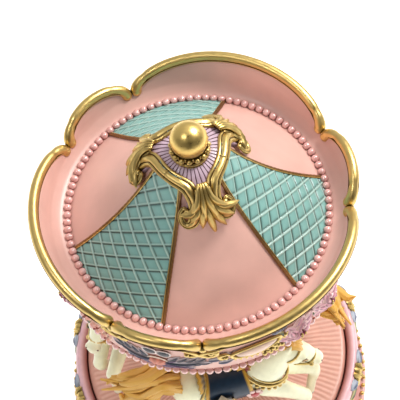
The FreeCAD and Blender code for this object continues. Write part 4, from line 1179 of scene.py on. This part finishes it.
def fluted(degrees, radius, height):
    """Cuts flutes in the column's shaft, leaving its foot and capital plain."""
    shaft = step_up(height, COLUMN_LOW + 14, 3) * step_up(-height, 20 - COLUMN_HIGH, 3)
    return radius - 0.7 * shaft * np.abs(np.sin(np.radians(degrees * 12))), height * np.ones_like(degrees)


def column_skin():
    """A baluster column with a fluted shaft and gilt rings."""
    dense = [COLUMN_PROFILE[0]]
    for start, end in zip(np.array(COLUMN_PROFILE), np.array(COLUMN_PROFILE[1:])):
        count = max(1, int(np.hypot(*(end - start)) / COLUMN_STEP))
        dense += [start + (end - start) * step / count for step in range(1, count + 1)]
    scale = (COLUMN_HIGH - COLUMN_LOW) / COLUMN_DRAWN
    profile = [(radius, COLUMN_LOW + height * scale) for radius, height in dense]
    shape = Shape()
    shape.add(*revolve(profile, 288, fluted))
    shape.build("column_skin", M["column"], "carousel", replaces=("column",), slot="column_resin")
    rings = Shape()
    for radius, height in COLUMN_RINGS:
        ring(rings, radius, COLUMN_LOW + height, round_section(0.8, 8), 120, beaded(120, 0.8, 0.14))
    rings.build("column_gilding", M["gold"], "carousel", slot="column_resin")


def on_shaft(degrees, height, lift=0.0):
    return polar(np.interp(height, LEAF_Z, LEAF_R) + np.asarray(lift), degrees, height)


def column_relief():
    """Leaves up the foot and capital, and roses round the middle of the shaft."""
    shaft = Wall(on_shaft, 12.0)
    paint = Shape()
    for turn in full_turn(12):
        for place, length, width, colour in (
                ((turn, COLUMN_LOW + 4.6), 13.0, 5.6, srgb(214, 190, 206)),
                ((turn + 15, COLUMN_HIGH - 4.2), -12.0, 5.8, srgb(150, 190, 184))):
            petal(paint, shaft, place, (0, 0), (0, length), width, 1.4, colour, GOLD_PAINT, 0, 3)
    for index in range(6):
        place = (index * 60 + 10, COLUMN_LOW + 50)
        rose(paint, shaft, place, 4.2, index)
        for hand in (-1, 1):
            for rise in (1, -1):
                petal(paint, shaft, place, (hand * 2.0, rise * 3.0), (hand * 5.0, rise * 8.6), 3.0, 1.0,
                      LEAF, LEAF_EDGE, 0.3, 3)
    paint.build("column_relief", M["relief"], "carousel", slot="column_resin")


def twisted_poles():
    """Barley-sugar poles; each passes through its horse from the turntable to the ceiling."""
    steps, sides = 200, 20
    angles = around(sides)
    for index in (1, 2, 3):
        low, high = node_box(f"pole_{index}")
        centre, radius = (low + high) / 2, (high[0] - low[0]) / 2
        points = []
        for height in np.linspace(low[2], high[2], steps):
            size = radius * (0.86 + 0.14 * np.cos(2 * (angles - height * 0.9)))
            points.append(polar(size, np.degrees(angles), height) + (centre[0], centre[1], 0))
        shape = Shape()
        shape.add(points, grid_faces(steps, sides, False, True) + end_faces(steps, sides))
        shape.build(f"twisted_pole_{index}", M["gold"], "carousel", replaces=(f"pole_{index}",),
                    slot="pole_gilt")


def ceiling_relief():
    """Gilt rings and rays under the canopy's ceiling."""
    gilt = Shape()
    for radius, thick in ((43.0, 0.9), (24.0, 0.6)):
        ring(gilt, radius, CEILING_Z - thick * 0.3, round_section(thick, 8), 180)
    for turn in full_turn(24):
        path = polar(np.linspace(25, 42, 12), turn + 7.5, CEILING_Z)
        gilt.add(*sweep(path, round_section(0.55, 6), np.linspace(0.6, 1, 12), UP))
    gilt.build("ceiling_gilding", M["gold"], "carousel", slot="ceiling_resin")


# ------------------------------------------------------------------ the horses
# A horse is shaped about its own pole: X forward, Y toward the column, Z up from the turntable.

# Middle lines of the legs from body to hoof: near fore, far fore, near hind, far hind.
LEGS = (
    [(12, -4.4, 44.0), (20.0, -5.4, 35.0), (27.0, -5.8, 25.0), (24.4, -5.9, 16.5), (21.4, -6.0, 9.4)],
    [(12.5, 3.4, 45.0), (22.6, 2.8, 37.2), (32.2, 2.0, 30.8), (31.8, 1.6, 20.4), (31.0, 1.2, 10.6)],
    [(-14, -4.0, 46.0), (-15.8, -4.6, 35.0), (-16.4, -4.8, 30.8), (-21.6, -5.0, 24.0), (-22.6, -5.1, 15.6)],
    [(-13, 4.0, 45.0), (-11.2, 4.6, 34.0), (-12.4, 4.8, 29.6), (-18.4, 5.0, 22.6), (-18.8, 5.1, 13.6)])
LEG_SIZES = [4.8, 3.3, 2.6, 1.95, 1.9]
NECK = [(11.5, 0.0, 48.5), (13.4, -0.4, 52.4), (15.4, -0.6, 56.6), (17.8, -0.7, 61.2), (21.0, -0.8, 64.2)]
NECK_SIZES = [8.6, 8.3, 7.2, 5.6, 4.3]
HEAD = [(20.8, -0.8, 64.0), (23.6, -1.3, 61.8), (27.0, -2.0, 59.0), (29.6, -2.6, 56.2), (31.4, -3.0, 54.4)]
HEAD_SIZES = [4.2, 5.3, 4.3, 3.3, 3.3]
# Middle, sizes and sideways flattening of each limb.
LIMBS = [(NECK, NECK_SIZES, 0.88), (HEAD, HEAD_SIZES, 0.80)] + [(leg, LEG_SIZES, 1.0) for leg in LEGS]
TRUNK = [
    ((-14.0, 0, 48.2), (8.6, 7.5, 8.6)), ((-6.0, 0, 46.6), (11.0, 7.1, 7.9)),
    ((3.0, 0, 46.8), (11.0, 7.3, 8.2)), ((11.6, 0, 47.4), (9.0, 7.6, 8.9)),
    ((13.0, -2.6, 46.0), (5.8, 4.8, 6.6)), ((13.0, 2.6, 46.0), (5.8, 4.8, 6.6)),
    ((-15.0, -3.2, 46.4), (6.0, 4.6, 7.2)), ((-15.0, 3.2, 46.4), (6.0, 4.6, 7.2))]
HEAD_DOWN = unit(np.array([11.5, -2.2, -10.4]))


def string_balls(shape, path, sizes, count, rings, sides, stretch):
    """Balls strung along a curve, their radii running through a list."""
    widths = np.interp(np.linspace(0, len(sizes) - 1, count), range(len(sizes)), sizes)
    for place, width in zip(curve_points(path, count), widths):
        shape.add(*ball(place, width, rings, sides, stretch))


def horse_blocks():
    """The rough horse: trunk, neck, head, ears and legs as overlapping solids."""
    rough = Shape()
    for centre, stretch in TRUNK:
        rough.add(*ball(centre, 1.0, 20, 30, stretch))
    for path, sizes, flat in LIMBS:
        string_balls(rough, path, sizes, 26, 14, 20, (1, flat, 1))
    for leg in LEGS:
        rough.add(*ball(leg[2], 2.95, 12, 16))
    for side in (-1, 1):
        ear = [(21.6, -0.9 + side * 2.2, 67.0), (21.8, -0.9 + side * 3.0, 69.4),
               (22.6, -0.9 + side * 2.9, 71.6)]
        string_balls(rough, ear, [1.5, 0.45], 8, 8, 10, (0.8, 1, 1))
        rough.add(*ball((23.8, -1.3 + side * 2.6, 60.4), 3.2, 10, 14, (1, 0.7, 1.1)))
        rough.add(*ball((26.6, -1.9 + side * 2.7, 61.6), 1.6, 8, 10))
        rough.add(*ball((32.4, -3.1 + side * 1.8, 55.0), 1.4, 8, 10))
    return rough


def melted(rough, voxel, rounds):
    """One smooth skin over overlapping solids: their union remeshed and smoothed."""
    mesh = bpy.data.meshes.new("rough")
    mesh.from_pydata(np.concatenate(rough.points).tolist(), [], rough.faces)
    block = new_object("rough", mesh)
    remesh = block.modifiers.new("remesh", "REMESH")
    remesh.mode = "VOXEL"
    remesh.voxel_size = voxel
    smooth = block.modifiers.new("smooth", "SMOOTH")
    smooth.factor = 0.5
    smooth.iterations = rounds
    seen = block.evaluated_get(bpy.context.evaluated_depsgraph_get())
    done = seen.to_mesh()
    points = np.empty(len(done.vertices) * 3)
    done.vertices.foreach_get("co", points)
    faces = [tuple(face.vertices) for face in done.polygons]
    seen.to_mesh_clear()
    bpy.data.objects.remove(block)
    bpy.data.meshes.remove(mesh)
    return points.reshape(-1, 3), faces


def horse_colours(points):
    """Cream coat, grey hooves, a warm muzzle, and painted shade low on the body and legs."""
    coat, hoof = srgb(242, 241, 206), srgb(112, 120, 140)
    shade, warm = srgb(214, 198, 160), srgb(244, 228, 204)
    # Painted shade: the coat darkens downward from the barrel to the legs.
    colours = blend(coat, shade, step_up(-points[:, 2:3], -46, 26) * 0.35)
    for leg in LEGS:
        foot, ankle = np.array(leg[-1]), np.array(leg[-2])
        along = (points - foot) @ unit(foot - ankle)
        near = np.linalg.norm(points - foot, axis=1) < 5.5
        colours = blend(colours, hoof, (step_up(along, -0.6, 0.5) * near)[:, None])
    muzzle = np.clip(1 - np.linalg.norm(points - np.array(HEAD[-1]), axis=1) / 4.2, 0, 1)[:, None]
    return blend(colours, warm, muzzle * 0.5)


def seat(index):
    """Moves a horse's points from its own frame to its place on the turntable."""
    low, high = node_box(f"pole_{index}")
    foot = np.array([(low[0] + high[0]) / 2, (low[1] + high[1]) / 2, TABLE_Z])
    outward = foot[:2] / np.linalg.norm(foot[:2])
    forward = np.array([-outward[1], outward[0], 0.0])
    inward = np.array([-outward[0], -outward[1], 0.0])
    axes = np.stack([forward, inward, [0, 0, 1.0]])
    return lambda points: points @ axes + foot


def lock(shape, path, width, sides=9, thin=0.75, tip=0.12):
    """One lock of hair: a tapering tube with three ribs."""
    count, ribs = 24, 3
    angles = np.arange(sides * 2) * math.pi / sides
    ribbed = 1 + 0.20 * np.cos(angles * ribs * 2)
    section = np.stack([np.cos(angles) * ribbed, np.sin(angles) * ribbed * thin], axis=1)
    sizes = np.interp(np.linspace(0, 1, count), [0, 0.3, 0.75, 1], [0.7, 1.0, 0.8, tip]) * width
    shape.add(*sweep(curve_points(path, count), section, sizes))


CREST_LINE = [(22.6, 0.2, 67.6), (18.6, 0.6, 67.4), (13.6, 1.2, 64.4), (9.0, 1.6, 60.0), (5.8, 1.6, 56.0)]
TAIL_SPINE = [(-18.5, 0.0, 52.0), (-25.0, 1.6, 57.6), (-33.0, 3.2, 55.6), (-43.0, 6.0, 57.0)]
TAIL_LOCKS = 13
# How far each curl below the tail drops, and how far it leans outward.
TAIL_CURLS = ((-8.0, -3.4), (-11.0, -1.6), (-6.0, -5.4), (-13.0, 0.5), (-9.0, 3.0))


def mane(shape):
    """Locks along the crest falling on the inner side, and a full forelock."""
    for index, root in enumerate(curve_points(CREST_LINE, 12)):
        swing = 1.2 * math.sin(index * 2.1)
        for start, middle, end, width in (
                ((0.6, 0.2, -0.6), (-2.0 + swing * 0.4, 4.6, -2.6),
                 (-4.4 + swing, 7.4, -8.0 - 0.3 * index), 1.9),
                ((0.4, -1.2, -0.8), (-1.8, -1.6 + swing * 0.3, 0.6), (-4.6, -2.0, -1.8), 1.5),
                ((0.4, 0.6, -0.8), (-1.8, 1.0 + swing * 0.3, 1.2), (-4.8, 1.6, -1.2), 1.7)):
            lock(shape, [root + start, root + middle, root + end], width)
    for side, reach in ((-1, 0.8), (0, 1.0), (1, 1.0), (2, 0.9)):
        lock(shape, [(20.8, -0.8 + side * 0.9, 67.6), (24.2, -1.0 + side * 1.5, 68.0),
                     (24.6 + 3.0 * reach, -1.4 + side * 1.8, 64.6)], 1.5)
    return shape


def tail(shape):
    """A sweeping tail of twisted locks that fan out, with curls hanging below it."""
    spine = curve_points(TAIL_SPINE, 30)
    for index in range(TAIL_LOCKS):
        turn = index * math.tau / TAIL_LOCKS
        spread = 4.3 + 1.2 * math.sin(index * 1.7)
        path = []
        for place in (0, 5, 10, 15, 20, 25, 29):
            part = place / 29
            wide = spread * math.sin(math.pi * min(part * 0.86 + 0.12, 0.98)) ** 0.8
            angle = turn + part * 2.4
            curl = 0.9 * math.sin(part * 9 + index)
            y, z = math.cos(angle) * wide + curl, math.sin(angle) * wide * 1.2 + curl
            path.append(spine[place] + (0, y, z))
        path[-1] = path[-1] + (4.0 * math.sin(index * 2.3), 0.7 * math.cos(index * 1.3),
                               1.0 * math.sin(index * 1.9))
        lock(shape, path, 1.8, 8, 0.9, 0.16)
    for index, (drop, out) in enumerate(TAIL_CURLS):
        lock(shape, [(-25.0 - index, 1.2, 55.0), (-29.5 - index, -0.6 + out * 0.6, 50.6),
                     (-33.0 - index * 1.6, out, 54.0 + drop),
                     (-36.5 - index * 1.2, out * 1.3, 57.0 + drop)], 1.9)
    return shape


def horse_saddle(shape):
    """The saddle cloth, edged, following the barrel from side to side."""
    reach = math.radians(116)
    turn = np.linspace(-reach, reach, 30)[:, None]
    part = np.linspace(-1, 1, 22)[None, :]
    across = -2.0 + part * (7.4 + 1.6 * np.abs(np.sin(turn)) ** 2)
    lift = 0.75 + 0.12 * np.cos(part * 40) * (np.abs(part) > 0.8)
    y, z = (7.35 + lift) * np.sin(turn), 46.8 + (8.35 + lift) * np.cos(turn)
    edge = np.clip(step_up(np.abs(part), 0.86, 0.04) + step_up(np.abs(turn) / reach, 0.94, 0.02), 0, 1)
    slant = np.degrees(turn) * 0.09
    quilt = 0.75 + 0.25 * np.abs(np.sin(across * 0.9 + slant) * np.sin(across * 0.9 - slant))
    colours = blend(srgb(24, 46, 68) * quilt[..., None], GOLD_PAINT, edge[..., None])
    shape.add_grid(np.stack([across, y, z], axis=-1), colours)


def ribs_shaded_gilt_rim(part, ribs, colour, dark, rim_from):
    """Ribs with painted shade between them, and a gilt rim."""
    # Painted shade between the ribs; the rim is gilt paint.
    tone = (dark + (1 - dark) * ribs)[..., None] * np.ones((len(part), 1, 1))
    return blend(colour * tone, GOLD_PAINT, step_up(part, rim_from, 0.1)[..., None])


def ribbed_fan(shape, centre, outward, width, height, colour):
    """A shell-backed cantle: a fan of ribs standing across the horse."""
    reach, count = 1.35, 7
    part = np.linspace(0, 1, 10)[:, None]
    turn = np.linspace(-reach, reach, 31)[None, :]
    ribs = 0.5 + 0.5 * np.cos(turn / reach * math.pi * count)
    x = outward * (part ** 2) * 3.0 + ribs * 0.5 * part
    front = np.stack([x, width * part * np.sin(turn), height * part * np.cos(turn)], axis=-1) + centre
    back = front + (-outward * 1.1, 0, 0)
    side = ribs_shaded_gilt_rim(part, ribs, colour, 0.55, 0.85)
    shape.add_grid(np.concatenate([front, back[::-1]]), np.concatenate([side, side[::-1]]), close_rows=True)


def shell_wing(shape, side):
    """A ribbed shell on the skirt of the saddle."""
    reach, count = 1.3, 6
    part = np.linspace(0, 1, 9)[:, None]
    turn = np.linspace(-reach, reach, 29)[None, :]
    ribs = 0.5 + 0.5 * np.cos(turn / reach * math.pi * count)
    x, z = -5.0 + 5.2 * part * np.sin(turn), 51.4 - 6.4 * part * np.cos(turn)
    bulge = 8.4 + 1.5 * np.sin(part * 2.6) + 0.5 * ribs * part - 0.18 * np.abs(z - 47)
    colours = ribs_shaded_gilt_rim(part, ribs, srgb(186, 168, 138), 0.4, 0.84)
    shape.add_grid(np.stack([x, side * bulge, z], axis=-1), colours)


def hoop(shape, centre, axis, radii, thick, wave=0.0, count=56):
    """A strap round the horse, in the plane across an axis."""
    axis = unit(np.asarray(axis, float))
    side = unit(np.cross(axis, UP))
    up = np.cross(side, axis)
    angles = around(count)[:, None]
    spokes = side * radii[0] * np.cos(angles) + up * radii[1] * np.sin(angles)
    path = np.array(centre) + spokes
    sizes = thick * (1 + wave * np.cos(angles[:, 0] * 14))
    shape.add(*sweep(path, round_section(1.0, 8, 0.7), sizes, spokes, closed=True))
    return path


def horse_tack(gilt):
    """Bridle, reins, collar, girth and stirrups."""
    for place, size, thick in ((0.20, (4.45, 5.2), 0.5), (0.80, (2.9, 3.3), 0.6)):
        spot = blend(np.array(HEAD[0]), np.array(HEAD[-1]), place)
        hoop(gilt, spot, HEAD_DOWN, size, thick, 0.12)
    for side in (-1, 1):
        rein = [(23.0, -1.2 + side * 4.6, 59.8), (26.4, -1.9 + side * 4.0, 57.6),
                (29.4, -2.6 + side * 3.1, 55.8)]
        gilt.add(*sweep(curve_points(rein, 14), round_section(0.5, 6)))
        gilt.add(*ball((29.4, -2.6 + side * 3.2, 55.8), 0.95, 7, 10))
        hoop(gilt, (-1.0, side * 9.0, 38.4), (0, 1, 0), (1.9, 2.3), 0.42)
        leather = [(-1.0, side * 8.6, 48.0), (-1.0, side * 9.1, 40.6)]
        gilt.add(*sweep(curve_points(leather, 8), round_section(0.5, 6)))
    centre = np.array([13.2, -0.3, 50.2])
    hoop(gilt, centre + (0.8, 0, 1.6), (0.45, 0, 0.90), (7.5, 8.6), 0.5, 0.05, 72)
    collar = hoop(gilt, centre, (0.45, 0, 0.90), (7.9, 9.2), 0.9, 0.12, 72)
    for point in collar[::3]:
        gilt.add(*ball(point + unit(point - centre) * 0.3 + (-0.5, 0, -1.3), 0.85, 7, 10))
    hoop(gilt, (-13.4, 0, 48.4), (0.9, 0, -0.45), (7.9, 9.0), 0.5, 0.15, 64)


def horse_eye(paint, side):
    """An eye with a painted glint and its lid, and a dark spot of painted shade for the nostril below."""
    eye = np.array([27.2, -2.0 + side * 3.9, 60.9])
    paint.add(*ball(eye, 0.82, 9, 12, (1, 0.7, 1)), srgb(18, 14, 14))
    # A white ball on the eye: a painted highlight.
    paint.add(*ball(eye + (0.25, side * 0.42, 0.35), 0.22, 6, 8), srgb(250, 250, 250))
    lid = [eye + (-1.3, side * 0.1, -0.1), eye + (-0.2, side * 0.5, 0.95), eye + (1.0, side * 0.2, 0.2)]
    sizes = [0.4, 0.8, 1, 1, 1, 1, 1, 0.8, 0.4]
    paint.add(*sweep(curve_points(lid, len(sizes)), round_section(0.3, 6), sizes), srgb(190, 160, 120))
    # A dark spot standing in for the nostril's hollow: painted shade.
    paint.add(*ball((33.4, -3.1 + side * 2.2, 55.4), 0.42, 6, 8), srgb(120, 84, 74))


def horse_paint(paint):
    """Eyes, saddle, cantle, rosettes and the ribbed breast ornament."""
    horse_saddle(paint)
    ribbed_fan(paint, (-9.8, 0, 53.0), -1.0, 6.8, 6.6, srgb(150, 136, 118))
    ribbed_fan(paint, (5.4, 0, 54.4), 1.0, 3.8, 4.4, srgb(176, 92, 90))
    for side in (-1, 1):
        horse_eye(paint, side)
        paint.add(*ball((7.4, side * 8.2, 45.6), 1.7, 8, 14, (1, 0.5, 1)), srgb(196, 84, 88))
        for turn in range(6):
            place = (7.4 + 2.3 * math.cos(turn), side * 7.9, 45.6 + 2.3 * math.sin(turn))
            paint.add(*ball(place, 1.2, 6, 8, (1, 0.5, 1)), srgb(240, 206, 200))
        shell_wing(paint, side)
        paint.add(*ball((-13.4, side * 8.2, 46.0), 1.5, 8, 12, (1, 0.5, 1)), STEEL_BLUE)


def horses():
    skin, faces = melted(horse_blocks(), 0.5, 5)
    coat = horse_colours(skin)
    hair = tail(mane(Shape()))
    tack, paint = Shape(), Shape()
    horse_tack(tack)
    horse_paint(paint)
    for index in (1, 2, 3):
        move = seat(index)
        body = Shape()
        body.add(move(skin), faces, coat)
        body.build(f"horse_coat_{index}", M["coat"], "carousel", replaces=(f"horse_{index}",),
                   slot="horse_resin")
        for part, name, material, gone, slot in (
                (hair, "mane_and_tail", "mane", (), "horse_resin"),
                (tack, "tack", "gold", (), "saddle_paint"),
                (paint, "saddle_and_eyes", "relief", (f"saddle_{index}",), "saddle_paint")):
            placed = Shape()
            placed.add_shape(part, move)
            placed.build(f"{name}_{index}", M[material], "carousel", replaces=gone, slot=slot)


# ------------------------------------------------------------ camera and light

CAMERA_TILT, CAMERA_ROLL = math.radians(61.84), math.radians(-7.29)
CAMERA_BACK, CAMERA_RIGHT, CAMERA_UP = 503.3, 1.14, 3.05
# Area lights: name, place and the height aimed at (metres), size, watts, colour and
# whether the gold mirrors it.
LIGHTS = (
    ("key", (0.42, 0.25, 0.75), 0.14, (0.30, 0.30), 6.4, (1, 0.985, 0.95), True),
    ("glint", (-0.32, -0.12, 0.9), 0.15, (0.12, 0.12), 1.2, (1, 1, 1), True),
    ("back_fill", (-0.2, 0.8, 0.6), 0.14, (0.8, 0.5), 3.0, (1, 1, 1), False),
    ("left_fill", (-0.8, -0.2, 0.45), 0.14, (0.5, 0.6), 1.0, (0.96, 0.98, 1), False),
    ("front_fill", (0.3, -0.9, 0.30), 0.06, (0.6, 0.4), 3.5, (1, 0.99, 0.94), False))
FLOOR_HALF = 3.0


def set_camera():
    back = Vector((0, -math.cos(CAMERA_TILT), math.sin(CAMERA_TILT)))
    right = Vector((1, 0, 0))
    up = back.cross(right)
    turned_right = right * math.cos(CAMERA_ROLL) + up * math.sin(CAMERA_ROLL)
    turned_up = up * math.cos(CAMERA_ROLL) - right * math.sin(CAMERA_ROLL)
    place = Vector((0, 0, RING_Z)) + back * CAMERA_BACK + right * CAMERA_RIGHT + up * CAMERA_UP
    data = bpy.data.cameras.new("camera")
    data.lens = 135
    data.sensor_width = 36
    camera = new_object("camera", data)
    turned = Matrix((turned_right, turned_up, back)).transposed().to_4x4()
    camera.matrix_world = Matrix.Translation(place * MM) @ turned
    bpy.context.scene.camera = camera


def area_light(name, place, aim, size, power, colour, mirrored):
    data = bpy.data.lights.new(name, "AREA")
    data.shape = "ELLIPSE"
    data.size, data.size_y = size
    data.energy = power
    data.color = colour
    light = new_object(name, data)
    light.visible_glossy = mirrored
    light.location = place
    light.rotation_euler = (Vector((0, 0, aim)) - Vector(place)).to_track_quat("-Z", "Y").to_euler()


def set_world():
    """A pale studio: bright overhead and behind, dim in front, with a dark upright band
    in front that polished gold mirrors."""
    world = bpy.data.worlds.new("studio")
    world.use_nodes = True
    tree = world.node_tree
    where = tree.nodes.new("ShaderNodeTexCoord")
    split = tree.nodes.new("ShaderNodeSeparateXYZ")
    tree.links.new(where.outputs["Generated"], split.inputs[0])
    x, y, _ = split.outputs
    deep = math_node(tree, "MULTIPLY_ADD", y, 0.5, 0.5)
    tone = ramp(tree, deep, [(0.0, (0.20, 0.19, 0.17)), (0.4, (0.42, 0.41, 0.39)),
                             (0.8, (0.95, 0.94, 0.92))])
    beside = math_node(tree, "ADD", math_node(tree, "ABSOLUTE", x), math_node(tree, "MAXIMUM", y, 0.0))
    band = ramp(tree, beside, [(0.10, (0.10, 0.09, 0.07)), (0.26, WHITE)])
    shade = tree.nodes["Background"]
    wire(tree, shade, {"Color": mix(tree, 1.0, tone, band, "MULTIPLY"), "Strength": 0.60})
    bpy.context.scene.world = world


def set_light():
    for light in LIGHTS:
        area_light(*light)
    set_world()


def lay_floor():
    mesh = bpy.data.meshes.new("floor")
    corners = [(x * FLOOR_HALF, y * FLOOR_HALF, 0) for x, y in ((-1, -1), (1, -1), (1, 1), (-1, 1))]
    mesh.from_pydata(corners, [], [(0, 1, 2, 3)])
    floor = new_object("floor", mesh)
    material, tree, shader = new_material("pale_floor")
    shades = clouds(tree, 3.0, 3.0, (0.93, 0.93, 0.92), (0.96, 0.96, 0.955))
    wire(tree, shader, {"Base Color": shades, "Roughness": 0.85, "Emission Color": shades,
                        "Emission Strength": 0.5})
    mesh.materials.append(material)


# ------------------------------------------------------------------ CAD finish

# The material that each of the record's slots wears where a CAD node is shown as it is.
FINISH = {
    "cover_felt": "felt", "deck_plastic": "plastic", "foot_rubber": "rubber", "steel": "steel",
    "zinc": "cast_zinc", "comb_steel": "steel", "brass": "brass", "barrel_steel": "steel",
    "spring_steel": "blued", "hub_plastic": "white_plastic", "ceiling_resin": "ceiling",
    "key_steel": "nickel", "base_resin": "base", "table_resin": "table", "column_resin": "column",
    "crest_resin": "crest", "gilt": "gold", "roof_resin": "roof", "pearl": "pearl", "cap_resin": "lilac",
    "ball_gilt": "ball", "pole_gilt": "gold", "horse_resin": "horse", "saddle_paint": "navy",
}


def dress_frame():
    """Materials of the CAD nodes."""
    for part in frame["record"]["subparts"]:
        node = frame["nodes"][part["node"]]
        node.data.materials.clear()
        node.data.materials.append(M[FINISH[part["material_slot"]]])


# --------------------------------------------------------------------- build

dress_frame()
roof_skin()
lattice_panels()
panel_trims()
crest_skin()
rim_moulding()
bead_row("roof_pearls", 99, RING_R, RING_Z, "roof_beads")
bead_row("frieze_pearls", 108, FRIEZE_R, FRIEZE_Z, "frieze_beads")
cap_field()
cap_gilding()
finial_rings()
finial_beads()
finial_ball_skin()
frieze()
base_skin()
base_relief()
turntable_skin()
column_skin()
column_relief()
twisted_poles()
ceiling_relief()
horses()
bpy.context.scene.view_settings.view_transform = "Standard"
set_camera()
set_light()
lay_floor()
